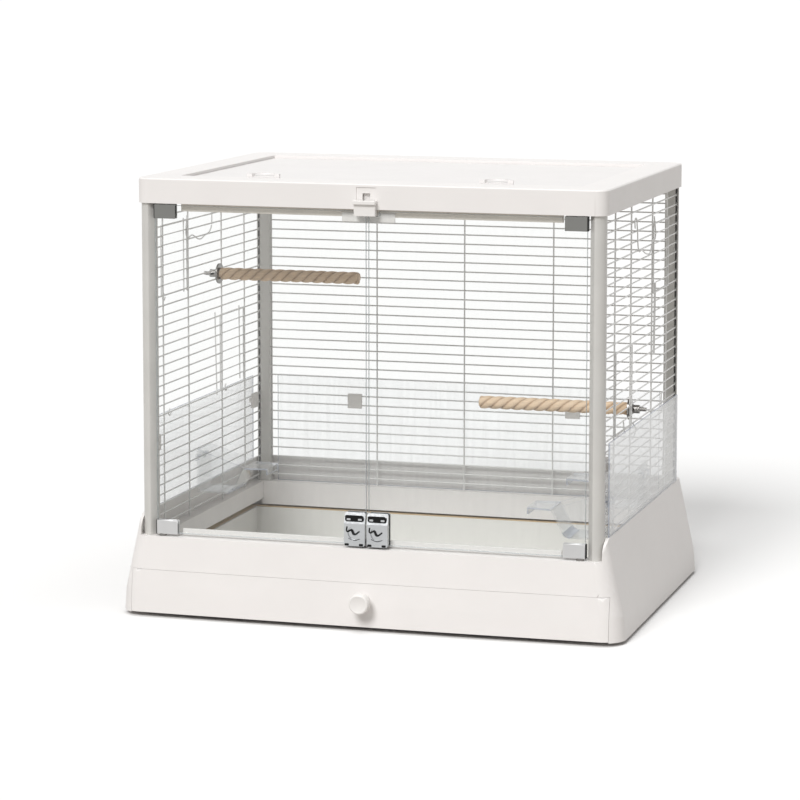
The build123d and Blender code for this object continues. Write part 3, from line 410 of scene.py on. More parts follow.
@dataclass(frozen=True)
class Clear(Finish):
    """A clear sheet: it lets light straight through, is glossier at a slant and has tinted edges."""

    tint: Colour = (0.50, 0.55, 0.57)
    haze_colour: Colour = (0.92, 0.92, 0.92)
    edge_cover: float = 0.6
    slant_cover: float = 0.1
    haze: tuple[float, float] = (0.0, 0.02)
    streak: Point = (1, 1, 0.15)
    mirror: float = 0.03
    wave: float = 0.02
    wave_size: float = 30.0
    mirror_power: float = 5.0
    slant_power: float = 4.0
    film_roughness: float = 0.3
    film_shade: float = 0.92
    patch: float = 25.0
    streak_size: float = 7.0

    def build(self) -> bpy.types.Material:
        """Makes the clear material.

        Returns:
            The material.
        """
        graph = Graph(self.name)
        through = graph.add("ShaderNodeBsdfTransparent", color=(*self.colour, 1))
        gloss = graph.add("ShaderNodeBsdfGlossy", roughness=self.roughness)
        graph.join(graph.bump(graph.noise(self.wave_size, 1.0), self.wave), gloss, "normal")
        mirror = graph.add("ShaderNodeMapRange", to_min=self.mirror)
        graph.join(graph.slant(self.mirror_power), mirror, "value")
        sheet = graph.mixed(mirror.outputs[0], through, gloss)
        body = graph.add("ShaderNodeBsdfPrincipled", roughness=self.film_roughness)
        patches = graph.between(graph.noise(self.patch), 0.0, 1.0)
        film = graph.blend(patches, self.haze_colour, shade(self.haze_colour, self.film_shade))
        narrow = graph.attribute("marked")
        graph.join(graph.blend(narrow, film, self.tint), body, "base_color")
        edges = graph.maths("MULTIPLY", narrow, self.edge_cover)
        slants = graph.maths("MULTIPLY", graph.slant(self.slant_power), self.slant_cover)
        streaks = graph.between(graph.noise(self.streak_size, 2.0, self.streak), *self.haze)
        cover = graph.total(edges, slants, streaks)
        return graph.finish(graph.mixed(cover, sheet, body))


@dataclass(frozen=True)
class Wood(Finish):
    """Pale carved wood with its grain along X and painted shade that darkens its valleys."""

    groove_colour: Colour = (0.30, 0.17, 0.09)
    groove_power: float = 1.6
    grain: float = 2.2
    grain_stretch: Point = (0.12, 1, 1)
    grain_shades: Place = (0.88, 1.08)
    grain_depth: float = 0.05
    roughest: float = 1.3

    def build(self) -> bpy.types.Material:
        """Makes the wood's material.

        Returns:
            The material.
        """
        graph = Graph(self.name)
        shader = graph.add("ShaderNodeBsdfPrincipled")
        grain = graph.between(graph.noise(self.grain, 6.0, self.grain_stretch), 0.0, 1.0)
        wood = graph.blend(grain, *(shade(self.colour, factor) for factor in self.grain_shades))
        # The deeper the valley, the more painted shade.
        valley = graph.maths("POWER", graph.attribute("groove"), self.groove_power)
        graph.join(graph.blend(valley, wood, self.groove_colour), shader, "base_color")
        dullness = graph.between(grain, self.roughness, self.roughness * self.roughest)
        graph.join(dullness, shader, "roughness")
        graph.join(graph.bump(grain, self.grain_depth), shader, "normal")
        return graph.finish(shader)


FINISHES: dict[str, Finish] = {
    "white_shell": Moulded("satin_white_plastic", (0.84, 0.815, 0.80), 0.38),
    "white_fitting": Moulded("white_fitting_plastic", (0.83, 0.81, 0.79), 0.38),
    "lid_panel": Moulded("lid_plastic", (0.82, 0.80, 0.79), 0.45, grain=0.8, grain_depth=0.03),
    "grey_rail": Moulded("grey_rail_plastic", (0.84, 0.79, 0.72), 0.5),
    "tray": Moulded("tray_plastic", (0.82, 0.81, 0.78), 0.4),
    "tan_trim": Moulded("tan_trim_plastic", (0.66, 0.48, 0.27), 0.45),
    "foot_rubber": Moulded("foot_rubber", (0.48, 0.47, 0.45), 0.75, grain=0.9, grain_depth=0.05),
    "post_metal": Metal("coated_post", (0.60, 0.59, 0.565), 0.42, metallic=0.12, coat=0.15),
    "wire": Metal("coated_wire", (0.78, 0.78, 0.77), 0.35, (1, 1, 1), 1.2, metallic=0.1, coat=0.2),
    "door_glass": Clear("door_glass", (0.985, 0.99, 0.988), 0.02, edge_cover=0.55, wave=0.004),
    # The clips' upper faces take a darker grey: painted shade under the roof.
    "clip_metal": Metal(
        "clip_metal", (0.56, 0.56, 0.56), 0.35, metallic=0.5, marked_colour=(0.20, 0.20, 0.19)
    ),
    # This finish also paints the shade of the post slots.
    "black_cap": Moulded("black_cap_plastic", (0.02, 0.02, 0.02), 0.5),
    "steel": Metal("bright_steel", (0.24, 0.23, 0.22), 0.25, (0.03, 1, 1)),
    # Marked faces of the lock's relief are near black: painted shade and painted reflection.
    "lock_chrome": Metal(
        "lock_chrome", (0.50, 0.51, 0.52), 0.22, (1, 1, 1), 3.0, 0.002, marked_colour=(0.02, 0.02, 0.02)
    ),
    "perch_wood": Wood("perch_wood", (0.84, 0.64, 0.45), 0.6),
    "clear_plastic": Clear(
        "clear_plastic",
        (0.985, 0.988, 0.99),
        0.05,
        tint=(0.42, 0.46, 0.56),
        edge_cover=0.45,
        slant_cover=0.3,
        haze=(0.0, 0.05),
        streak=(1, 1, 0.06),
    ),
}


# Shared tools for the pieces


@dataclass
class Workshop:
    """Holds the frame, the finishes that are made and the pieces that are reported."""

    frame: dict
    materials: dict[str, bpy.types.Material] = field(default_factory=dict)
    made: list[str] = field(default_factory=list)

    def __post_init__(self) -> None:
        """Notes each node's slot in the record."""
        self.slots = {part["node"]: part["material_slot"] for part in self.frame["record"]["subparts"]}

    def material(self, slot: str) -> bpy.types.Material:
        """Gives the material of a slot, made once.

        Args:
            slot: the record's material slot.

        Returns:
            The slot's material.
        """
        if slot not in self.materials:
            self.materials[slot] = FINISHES[slot].build()
        return self.materials[slot]

    def body_of(self, node: str) -> str:
        """The body that a CAD node moves with."""
        return self.frame["nodes"][node]["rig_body"]

    def add(
        self,
        name: str,
        mesh: bpy.types.Mesh,
        body: str,
        slot: str,
        replaced: Iterable[str] = (),
    ) -> bpy.types.Object:
        """Turns a mesh into a piece of the cage.

        Args:
            name: the piece's name.
            mesh: its mesh, with its place in its vertices.
            body: the body that it moves with.
            slot: the record's material slot that it is finished with.
            replaced: the CAD nodes that it stands for.

        Returns:
            The piece's object.
        """
        piece = bpy.data.objects.new(name, mesh)
        bpy.context.scene.collection.objects.link(piece)
        mesh.materials.clear()
        mesh.materials.append(self.material(slot))
        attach(piece, body)
        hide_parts(*replaced)
        self.made.append(name)
        LOG.info("%s: %d faces on %s", name, len(mesh.polygons), body)
        return piece


@dataclass(frozen=True)
class Rounding:
    """How the edges of a dressed part are rounded, in millimetres."""

    width: float = 0.6
    segments: int = 3
    shortest: float = 4.0
    sharpest: float = 25.0

    def wants(self, edge: bmesh.types.BMEdge) -> bool:
        """Tells whether an edge is long and sharp enough to be rounded.

        Args:
            edge: the edge.

        Returns:
            True if it is rounded.
        """
        if len(edge.link_faces) != 2:
            return False
        turn = math.degrees(edge.calc_face_angle(0.0))
        return turn > self.sharpest and edge.calc_length() > self.shortest * MM


def plain_mesh(source: bpy.types.Object, name: str) -> bpy.types.Mesh:
    """Evaluates an object's modifiers or curve into a plain mesh and removes the object.

    Args:
        source: the object that carries them.
        name: the new mesh's name.

    Returns:
        The plain mesh.
    """
    if source.name not in bpy.context.scene.collection.objects:
        bpy.context.scene.collection.objects.link(source)
    depsgraph = bpy.context.evaluated_depsgraph_get()
    depsgraph.update()
    mesh = bpy.data.meshes.new_from_object(source.evaluated_get(depsgraph), depsgraph=depsgraph)
    mesh.name = name
    bpy.data.objects.remove(source)
    return mesh


def joined_mesh(name: str, meshes: Sequence[bpy.types.Mesh]) -> bpy.types.Mesh:
    """Joins several meshes into one.

    Args:
        name: the new mesh's name.
        meshes: the meshes.

    Returns:
        The joined mesh.
    """
    gathered = bmesh.new()
    for mesh in meshes:
        gathered.from_mesh(mesh)
    result = bpy.data.meshes.new(name)
    gathered.to_mesh(result)
    gathered.free()
    return result


def smooth(mesh: bpy.types.Mesh, angle: float = 35.0) -> bpy.types.Mesh:
    """Shades a mesh smooth apart from its sharp edges.

    Args:
        mesh: the mesh.
        angle: the turn in degrees from which an edge is sharp.

    Returns:
        The same mesh.
    """
    mesh.shade_smooth()
    mesh.set_sharp_from_angle(angle=math.radians(angle))
    return mesh


def dressed_mesh(node: bpy.types.Object, rounding: Rounding) -> bpy.types.Mesh:
    """Copies a CAD node's mesh, merges its triangles and rounds its edges.

    Args:
        node: the CAD node's object, which stays as it is.
        rounding: which edges are rounded and by how much.

    Returns:
        The new mesh.
    """
    shape = bmesh.new()
    shape.from_mesh(node.data)
    bmesh.ops.remove_doubles(shape, verts=shape.verts, dist=MERGE_DISTANCE)
    flat = math.radians(FLAT_ANGLE)
    bmesh.ops.dissolve_limit(shape, angle_limit=flat, verts=shape.verts, edges=shape.edges)
    weights = shape.edges.layers.float.new("bevel_weight_edge")
    for edge in shape.edges:
        edge[weights] = 1.0 if rounding.wants(edge) else 0.0
    mesh = bpy.data.meshes.new(node.name + "_copy")
    shape.to_mesh(mesh)
    shape.free()
    smooth(mesh)
    holder = bpy.data.objects.new(node.name + "_copy", mesh)
    bevel = holder.modifiers.new("Rounded edges", "BEVEL")
    bevel.limit_method = "WEIGHT"
    bevel.width = rounding.width * MM
    bevel.segments = rounding.segments
    bevel.use_clamp_overlap = True
    even = holder.modifiers.new("Even shading", "WEIGHTED_NORMAL")
    even.mode = "FACE_AREA"
    even.weight = 100
    even.keep_sharp = True
    return plain_mesh(holder, node.name + "_dressed")


FaceTest = Callable[[bpy.types.Mesh, bpy.types.MeshPolygon], bool]


def mark_faces(mesh: bpy.types.Mesh, wanted: FaceTest) -> None:
    """Writes 1 on the wanted faces and 0 on the others, for finishes that treat them apart.

    Args:
        mesh: the mesh that is marked.
        wanted: tells whether a face is marked.
    """
    layer = mesh.attributes.new("marked", "FLOAT", "FACE")
    layer.data.foreach_set("value", [float(wanted(mesh, face)) for face in mesh.polygons])


def narrow_face(mesh: bpy.types.Mesh, face: bpy.types.MeshPolygon, widest: float = 3.2) -> bool:
    """Whether a face is a narrow strip, as the edges of clear sheets are.

    Args:
        mesh: the face's mesh.
        face: the face.
        widest: how wide a strip may be in millimetres.

    Returns:
        True for a strip.
    """
    corners = [mesh.vertices[index].co for index in face.vertices]
    longest = max((one - other).length for one in corners for other in corners[:2])
    return face.area / max(longest, MM) < widest * MM


def every_face(mesh: bpy.types.Mesh, face: bpy.types.MeshPolygon) -> bool:
    """Marks every face."""
    return True


def no_face(mesh: bpy.types.Mesh, face: bpy.types.MeshPolygon) -> bool:
    """Marks no face."""
    return False


def upper_face(mesh: bpy.types.Mesh, face: bpy.types.MeshPolygon) -> bool:
    """Whether a face lies in the upper half of the cage, where the clips get painted shade."""
    return face.center.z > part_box("post_front_left")[1].z / 2


def dress(
    shop: Workshop,
    nodes: Iterable[str],
    rounding: Rounding,
    marking: FaceTest | None = None,
) -> None:
    """Replaces CAD nodes by copies with rounded edges, each in its own finish.

    Args:
        shop: the workshop.
        nodes: the nodes' names.
        rounding: how their edges are rounded.
        marking: the test for the faces that are marked.
    """
    for name in nodes:
        mesh = dressed_mesh(shop.frame["nodes"][name], rounding)
        if marking:
            mark_faces(mesh, marking)
        shop.add(name + "_finished", mesh, shop.body_of(name), shop.slots[name], [name])


def lathe(outline: Sequence[tuple[float, float]], steps: int = 48) -> bmesh.types.BMesh:
    """Turns an outline of (radius, height) in millimetres round the Z axis.

    Args:
        outline: the outline from the axis at the bottom to the axis at the top.
        steps: how many steps the full turn has.

    Returns:
        The closed shape.
    """
    shape = bmesh.new()
    rings = []
    for radius, height in outline:
        if radius == 0:
            rings.append([shape.verts.new(mm(0, 0, height))])
            continue
        angles = [math.tau * step / steps for step in range(steps)]
        places = [mm(radius * math.cos(angle), radius * math.sin(angle), height) for angle in angles]
        rings.append([shape.verts.new(place) for place in places])
    for low, high in zip(rings, rings[1:]):
        for step in range(steps):
            after = (step + 1) % steps
            corners = [low[step % len(low)], low[after % len(low)]]
            corners += [high[after % len(high)], high[step % len(high)]]
            face = list(dict.fromkeys(corners))
            if len(face) > 2:
                shape.faces.new(face)
    bmesh.ops.recalc_face_normals(shape, faces=shape.faces)
    return shape


def wire_path(name: str, paths: Sequence[Sequence[Vector]], radius: float) -> bpy.types.Mesh:
    """Makes round wires that follow paths.

    Args:
        name: the mesh's name.
        paths: the points of each wire, in metres.
        radius: the wire's radius in millimetres.

    Returns:
        The wires' mesh.
    """
    curve = bpy.data.curves.new(name, "CURVE")
    curve.dimensions = "3D"
    curve.bevel_depth = radius * MM
    curve.bevel_resolution = 3
    curve.resolution_u = 8
    curve.use_fill_caps = True
    for path in paths:
        spline = curve.splines.new("BEZIER")
        spline.bezier_points.add(len(path) - 1)
        for knot, point in zip(spline.bezier_points, path):
            knot.co = point
            knot.handle_left_type = "AUTO"
            knot.handle_right_type = "AUTO"
    return smooth(plain_mesh(bpy.data.objects.new(name, curve), name), ROUND_ANGLE)


# Wires made with Geometry Nodes


@dataclass(frozen=True)
class BarRow:
    """A row of equal round bars, with lengths in millimetres."""

    start: Vector
    step: Vector
    count: int
    bar: Vector
    radius: float


class BarNodes:
    """The Geometry Nodes group that places a row of bars."""

    INPUTS = {
        "Start": "NodeSocketVector",
        "Step": "NodeSocketVector",
        "Bar": "NodeSocketVector",
        "Count": "NodeSocketInt",
        "Radius": "NodeSocketFloat",
        "Material": "NodeSocketMaterial",
    }
    BAR_SIDES = 10

    def __init__(self) -> None:
        """Makes the group with its named inputs."""
        self.group = bpy.data.node_groups.new("Row of bars", "GeometryNodeTree")
        face = self.group.interface
        self.identifiers = {}
        for name, kind in self.INPUTS.items():
            self.identifiers[name] = face.new_socket(name=name, in_out="INPUT", socket_type=kind).identifier
        face.new_socket(name="Geometry", in_out="OUTPUT", socket_type="NodeSocketGeometry")
        self.wire_up()

    def wire_up(self) -> None:
        """Adds the nodes: a line of points, a bar on each, made real and given its finish."""
        nodes, links = self.group.nodes, self.group.links
        given = nodes.new("NodeGroupInput").outputs
        line = nodes.new("GeometryNodeMeshLine")
        links.new(given["Count"], line.inputs["Count"])
        links.new(given["Start"], line.inputs["Start Location"])
        links.new(given["Step"], line.inputs["Offset"])
        axis = nodes.new("GeometryNodeCurvePrimitiveLine")
        links.new(given["Bar"], axis.inputs["End"])
        circle = nodes.new("GeometryNodeCurvePrimitiveCircle")
        circle.inputs["Resolution"].default_value = self.BAR_SIDES
        links.new(given["Radius"], circle.inputs["Radius"])
        bar = nodes.new("GeometryNodeCurveToMesh")
        bar.inputs["Fill Caps"].default_value = True
        links.new(axis.outputs[0], bar.inputs["Curve"])
        links.new(circle.outputs[0], bar.inputs["Profile Curve"])
        place = nodes.new("GeometryNodeInstanceOnPoints")
        links.new(line.outputs[0], place.inputs["Points"])
        links.new(bar.outputs[0], place.inputs["Instance"])
        real = nodes.new("GeometryNodeRealizeInstances")
        links.new(place.outputs[0], real.inputs[0])
        finish = nodes.new("GeometryNodeSetMaterial")
        links.new(real.outputs[0], finish.inputs["Geometry"])
        links.new(given["Material"], finish.inputs["Material"])
        links.new(finish.outputs[0], nodes.new("NodeGroupOutput").inputs[0])

    def mesh(self, name: str, rows: Sequence[BarRow], material: bpy.types.Material) -> bpy.types.Mesh:
        """Makes one plain mesh of several rows.

        Args:
            name: the mesh's name.
            rows: the rows of bars.
            material: their finish.

        Returns:
            The mesh.
        """
        meshes = []
        for row in rows:
            holder = bpy.data.objects.new(name, bpy.data.meshes.new(name))
            modifier = holder.modifiers.new("Row of bars", "NODES")
            modifier.node_group = self.group
            values = {
                "Start": row.start * MM,
                "Step": row.step * MM,
                "Bar": row.bar * MM,
                "Count": row.count,
                "Radius": row.radius * MM,
                "Material": material,
            }
            for key, value in values.items():
                modifier[self.identifiers[key]] = value
            meshes.append(plain_mesh(holder, name))
        return smooth(joined_mesh(name, meshes), ROUND_ANGLE)


# The sub-assemblies


class Assembly(Protocol):
    """Any sub-assembly of the cage."""

    def build(self, shop: Workshop) -> None:
        """Makes the sub-assembly's pieces."""


@dataclass
class Base:
    """The moulded base with its feet, its drawer opening and the sill."""

    shell_edges: Rounding = Rounding(1.2, 3, 6.0, 40.0)
    fitting_edges: Rounding = Rounding(0.8, 3, 2.0)

    def build(self, shop: Workshop) -> None:
        """Dresses the base's parts."""
        dress(shop, ["base_shell"], self.shell_edges)
        dress(shop, ["foot_pads", "sill_strip"], self.fitting_edges)


@dataclass
class Drawer:
    """The pull-out tray with its front, trim and knob."""

    front_edges: Rounding = Rounding(1.0, 3, 6.0)
    tray_edges: Rounding = Rounding(0.8, 2, 6.0)
    trim_edges: Rounding = Rounding(0.3, 2, 6.0)
    knob_steps: int = 64
    neck_share: float = 0.62
    neck_flare: Place = (1.2, 1.0)
    head: float = 11.0
    head_back: tuple[Place, ...] = ((1.0, 0.3), (0.0, 1.6))
    head_rim: tuple[Place, ...] = ((0.0, 2.2), (0.7, 0.7), (2.2, 0.0), (3.4, 0.5))
    dish: float = 1.4

    def build(self, shop: Workshop) -> None:
        """Dresses the tray and turns the knob.

        Args:
            shop: the workshop.
        """
        dress(shop, ["drawer_front"], self.front_edges)
        dress(shop, ["drawer_tray"], self.tray_edges)
        dress(shop, ["tray_trim"], self.trim_edges)
        self.knob(shop)

    def knob_outline(self, radius: float, length: float) -> list[Place]:
        """The knob's outline, with a dished face and a rounded rim.

        Args:
            radius: the head's radius in millimetres.
            length: the knob's length in millimetres.

        Returns:
            The (radius, height) of each corner, from the back.
        """
        neck = radius * self.neck_share
        back = length - self.head
        flare_width, flare_length = self.neck_flare
        outline = [(0, 0), (neck, 0), (neck, back - flare_length), (neck + flare_width, back)]
        outline += [(radius - inset, back + above) for inset, above in self.head_back]
        outline += [(radius - inset, length - below) for inset, below in self.head_rim]
        return [*outline, (0, length - self.dish)]

    def knob(self, shop: Workshop) -> None:
        """Turns the knob from its outline.

        Args:
            shop: the workshop.
        """
        low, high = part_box("drawer_knob")
        radius = (high.x - low.x) / 2 / MM
        length = (high.y - low.y) / MM
        shape = lathe(self.knob_outline(radius, length), self.knob_steps)
        turn = Matrix.Rotation(math.radians(90), 4, "X")
        middle = Vector(((low.x + high.x) / 2, high.y, (low.z + high.z) / 2))
        shape.transform(Matrix.Translation(middle) @ turn)
        mesh = bpy.data.meshes.new("knob")
        shape.to_mesh(mesh)
        shape.free()
        shop.add("drawer_knob_turned", smooth(mesh), "drawer", shop.slots["drawer_knob"], ["drawer_knob"])


@dataclass
class Roof:
    """The roof frame, its lid, the latch and the rail behind it."""

    frame_edges: Rounding = Rounding(1.6, 4, 6.0, 40.0)
    lid_edges: Rounding = Rounding(0.8, 3, 5.0, 40.0)
    fitting_edges: Rounding = Rounding(0.5, 3, 2.0)

    def build(self, shop: Workshop) -> None:
        """Dresses the roof's parts.

        Args:
            shop: the workshop.
        """
        dress(shop, ["roof_frame"], self.frame_edges)
        dress(shop, ["roof_lid"], self.lid_edges)
        dress(shop, ["latch_slider", "latch_keeper", "door_stop_rail"], self.fitting_edges)


@dataclass
class Posts:
    """The four corner posts."""

    edges: Rounding = Rounding(1.0, 4, 10.0)

    def build(self, shop: Workshop) -> None:
        """Dresses the posts."""
        names = [f"post_{end}_{side.word}" for end in ("front", "back") for side in Side]
        dress(shop, names, self.edges)


@dataclass
class WireWalls:
    """The round welded wires of the three walls and of the four hatches."""

    thickness: float = 2.0
    edge: float = 2.5
    pitch: float = 13.1
    first_row: float = 9.4
    slot_height: float = 8.0
    slot_radius: float = 0.8
    slot_proud: float = 0.2
    hatch_lap: float = 1.5
    upright_share: float = 1.1
    back_uprights: tuple[float, ...] = (-128.7, 0.0, 128.7)
    bars: BarNodes = field(init=False)
    metal: bpy.types.Material = field(init=False)

    def build(self, shop: Workshop) -> None:
        """Makes the three walls and the four hatches.

        Args:
            shop: the workshop.
        """
        self.bars = BarNodes()
        self.metal = shop.material("wire")
        for side in Side:
            self.side_wall(shop, side)
            self.post_slots(shop, side)
            for level in ("upper", "lower"):
                self.hatch(shop, f"hatch_{level}_{side.word}")
        self.back_wall(shop)

    def rows(self, low: Vector, high: Vector) -> list[float]:
        """The heights of a wall's wires.

        Args:
            low: the wall's low corner in metres.
            high: its high corner in metres.

        Returns:
            The heights in millimetres.
        """
        first = low.z / MM + self.first_row
        last = high.z / MM - self.edge
        return [first + step * self.pitch for step in range(int((last - first) / self.pitch) + 1)]

    def hole_uprights(self, hole: tuple[Vector, Vector]) -> Place:
        """The Y of the two uprights beside a hatch's hole, in millimetres."""
        return hole[0].y / MM + self.hatch_lap, hole[1].y / MM - self.hatch_lap

    def side_wall(self, shop: Workshop, side: Side) -> None:
        """Makes one side wall, with its two holes where the hatches are.

        Args:
            shop: the workshop.
            side: the wall's side.
        """
        name = f"wire_wall_{side.word}"
        low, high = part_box(name)
        x = (low.x + high.x) / 2 / MM
        front, back = low.y / MM, high.y / MM
        bottom, top = low.z / MM, high.z / MM
        holes = [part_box(f"hatch_{level}_{side.word}") for level in ("upper", "lower")]
        spans = []
        for height in self.rows(low, high):
            cuts = sorted(
                self.hole_uprights(hole)
                for hole in holes
                if hole[0].z / MM + self.pitch / 2 < height < hole[1].z / MM - self.pitch / 2
            )
            start = front
            for cut_start, cut_end in cuts:
                spans.append((height, start, cut_start))
                start = cut_end
            spans.append((height, start, back))
        radius = self.thickness / 2
        rows = [
            BarRow(Vector((x, start, height)), Vector((0, 0, 1)), 1, Vector((0, end - start, 0)), radius)
            for height, start, end in spans
        ]
        upright = Vector((0, 0, top - bottom))
        columns = [front + self.edge / 2, back - self.edge / 2]
        for hole in holes:
            columns += self.hole_uprights(hole)
        mirrored = [2 * base_middle() - y for y in columns[2:]]
        for y in sorted(set(round(value, 2) for value in columns + mirrored)):
            foot = Vector((x, y, bottom))
            rows.append(BarRow(foot, Vector((0, 1, 0)), 1, upright, radius * self.upright_share))
        mesh = self.bars.mesh(name, rows, self.metal)
        shop.add(f"round_wires_{side.word}", mesh, "cage", "wire", [name])

    def post_slots(self, shop: Workshop, side: Side) -> None:
        """Makes black bars of painted shade that stand for the slots in a back post, one between each two
        wires.

        Args:
            shop: the workshop.
            side: the post's side.
        """
        wall_low, wall_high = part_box(f"wire_wall_{side.word}")
        post_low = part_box(f"post_back_{side.word}")[0]
        x = (wall_low.x + wall_high.x) / 2 / MM
        heights = self.rows(wall_low, wall_high)
        lowest = heights[0] - self.slot_height / 2 + self.pitch / 2
        # The bars stand just in front of the post, in the black finish: painted shade.
        start = Vector((x, post_low.y / MM - self.slot_proud, lowest))
        bar = Vector((0, 0, self.slot_height))
        rows = [BarRow(start, Vector((0, 0, self.pitch)), len(heights) - 1, bar, self.slot_radius)]
        mesh = self.bars.mesh(f"post_slots_{side.word}", rows, self.metal)
        shop.add(f"post_slots_{side.word}", mesh, "cage", "black_cap")

    def back_wall(self, shop: Workshop) -> None:
        """Makes the back wall.

        Args:
            shop: the workshop.
        """
        low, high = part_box("wire_wall_back")
        y = (low.y + high.y) / 2 / MM
        left, right = low.x / MM, high.x / MM
        bottom, top = low.z / MM, high.z / MM
        heights = self.rows(low, high)
        radius = self.thickness / 2
        across = Vector((right - left, 0, 0))
        start = Vector((left, y, heights[0]))
        rows = [BarRow(start, Vector((0, 0, self.pitch)), len(heights), across, radius)]
        upright = Vector((0, 0, top - bottom))
        for x in (left + self.edge / 2, *self.back_uprights, right - self.edge / 2):
            foot = Vector((x, y, bottom))
            rows.append(BarRow(foot, Vector((1, 0, 0)), 1, upright, radius * self.upright_share))
        mesh = self.bars.mesh("wire_wall_back", rows, self.metal)
        shop.add("round_wires_back", mesh, "cage", "wire", ["wire_wall_back"])

    def hatch(self, shop: Workshop, name: str) -> None:
        """Makes one sliding hatch.

        Args:
            shop: the workshop.
            name: the hatch's CAD node.
        """
        low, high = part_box(name)
        x = (low.x + high.x) / 2 / MM
        radius = (high.x - low.x) / 2 / MM
        front, back = low.y / MM + radius, high.y / MM - radius
        bottom, top = low.z / MM + radius, high.z / MM - radius
        count = round((top - bottom) / self.pitch) + 1
        step = (top - bottom) / (count - 1)
        corner = Vector((x, front, bottom))
        across = Vector((0, back - front, 0))
        upright = Vector((0, 0, top - bottom))
        rows = [
            BarRow(corner, Vector((0, 0, step)), count, across, radius),
            BarRow(corner, across, 2, upright, radius),
        ]
        mesh = self.bars.mesh(name, rows, self.metal)
        shop.add(f"round_{name}", mesh, shop.body_of(name), "wire", [name])


def plates(
    sizes: Iterable[tuple[Place, Place]],
    front: float,
    thickness: float,
    round_share: float = 0.3,
) -> list[bpy.types.Mesh]:
    """Makes thin upright plates on a front face.

    Args:
        sizes: the (x, z) of two opposite corners of each plate, in millimetres.
        front: the Y of the face that they stand on.
        thickness: how far they stand out.
        round_share: how much of a plate's shorter side its corners' radius takes.

    Returns:
        One mesh per plate.
    """
    made = []
    for (left, bottom), (right, top) in sizes:
        shape = bmesh.new()
        bmesh.ops.create_cube(shape, size=1.0)
        middle = mm((left + right) / 2, front - thickness / 2, (bottom + top) / 2)
        size = mm(right - left, thickness, top - bottom)
        shape.transform(Matrix.Translation(middle) @ Matrix.Diagonal((*size, 1)))
        edges = [edge for edge in shape.edges if edge.calc_length() < thickness * MM + MERGE_DISTANCE]
        round_off = min(right - left, top - bottom) * round_share * MM
        bmesh.ops.bevel(shape, geom=edges, offset=round_off, segments=4, affect="EDGES", profile=0.5)
        mesh = bpy.data.meshes.new("plate")
        shape.to_mesh(mesh)
        shape.free()
        made.append(mesh)
    return made


@dataclass(frozen=True)
class PlateFace:
    """A lock plate's front face, with places on it in millimetres from its lower left corner."""

    left: float
    bottom: float
    front: float

    def at(self, u: float, v: float) -> Place:
        """The X and Z of a place on the face."""
        return self.left + u, self.bottom + v

    def patch(self, u: float, v: float, wide: float, tall: float) -> tuple[Place, Place]:
        """Two opposite corners of a patch on the face."""
        return self.at(u, v), self.at(u + wide, v + tall)

    def wire(self, outline: Sequence[Place], radius: float) -> bpy.types.Mesh:
        """A bent wire that is half sunk in the face."""
        places = [self.at(u, v) for u, v in outline]
        return wire_path("bent", [[mm(x, self.front, z) for x, z in places]], radius)


@dataclass
class LockFace:
    """The relief on a door lock's plate: a near black painted reflection on its slope, with chrome glint
    patches, and painted shade in the hooked key slot, the crease and notches.
    """

    side: Side
    stand_out: float = 0.35
    slope: tuple[float, float, float, float] = (1.6, 32.0, 24.2, 8.0)
    glints: Place = (4.0, 19.0)
    glint_size: Place = (5.0, 2.4)
    glint_height: float = 33.5
    slot: tuple[Place, ...] = ((4.0, 25.0), (4.6, 18.5), (9.0, 20.5), (13.5, 15.0), (19.5, 18.5))
    slot_radius: float = 1.0
    crease: tuple[Place, ...] = ((6.0, 10.0), (13.5, 7.5), (21.0, 9.5))
    crease_radius: float = 0.45
    notches: Place = (1.0, 20.0)
    notch_size: Place = (5.5, 3.0)
    notch_height: float = 0.4

    def build(self, shop: Workshop) -> None:
        """Makes the relief in one piece on the door.

        Args:
            shop: the workshop.
        """
        name = f"door_lock_{self.side.word}"
        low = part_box(name)[0]
        face = PlateFace(low.x / MM, low.z / MM, low.y / MM)
        # Near black plates and wires just in front of the face: painted reflection on the slope, painted
        # shade in the notches, slot and crease. The glint plates keep the chrome's own colour.
        painted_shade_patches = [face.patch(*self.slope)]
        painted_shade_patches += [face.patch(u, self.notch_height, *self.notch_size) for u in self.notches]
        bright = [face.patch(u, self.glint_height, *self.glint_size) for u in self.glints]
        sunk = plates(painted_shade_patches, face.front, self.stand_out)
        sunk += [face.wire(self.slot, self.slot_radius), face.wire(self.crease, self.crease_radius)]
        raised = plates(bright, face.front - self.stand_out, self.stand_out)
        for mesh in sunk:
            mark_faces(mesh, every_face)
        for mesh in raised:
            mark_faces(mesh, no_face)
        relief = smooth(joined_mesh(name + "_relief", sunk + raised))
        shop.add(name + "_relief", relief, shop.body_of(name), "lock_chrome")


@dataclass
class GlassDoor:
    """One glass door with its clips, caps, pins and lock plate."""

    side: Side
    glass_edges: Rounding = Rounding(0.4, 2, 4.0)
    clip_edges: Rounding = Rounding(0.8, 3, 2.0)
    pin_edges: Rounding = Rounding(0.3, 2, 1.0)
    lock_edges: Rounding = Rounding(0.6, 3, 3.0, 20.0)
    widest_strip: float = 6.0

    def build(self, shop: Workshop) -> None:
        """Dresses the door's parts.

        Args:
            shop: the workshop.
        """
        word = self.side.word
        strips = partial(narrow_face, widest=self.widest_strip)
        dress(shop, [f"glass_door_{word}"], self.glass_edges, strips)
        # The upper halves of the clips are marked for painted shade.
        dress(shop, [f"hinge_clips_{word}"], self.clip_edges, upper_face)
        dress(shop, [f"hinge_end_caps_{word}", f"hinge_pins_{word}"], self.pin_edges)
        dress(shop, [f"door_lock_{word}"], self.lock_edges)
        LockFace(self.side).build(shop)


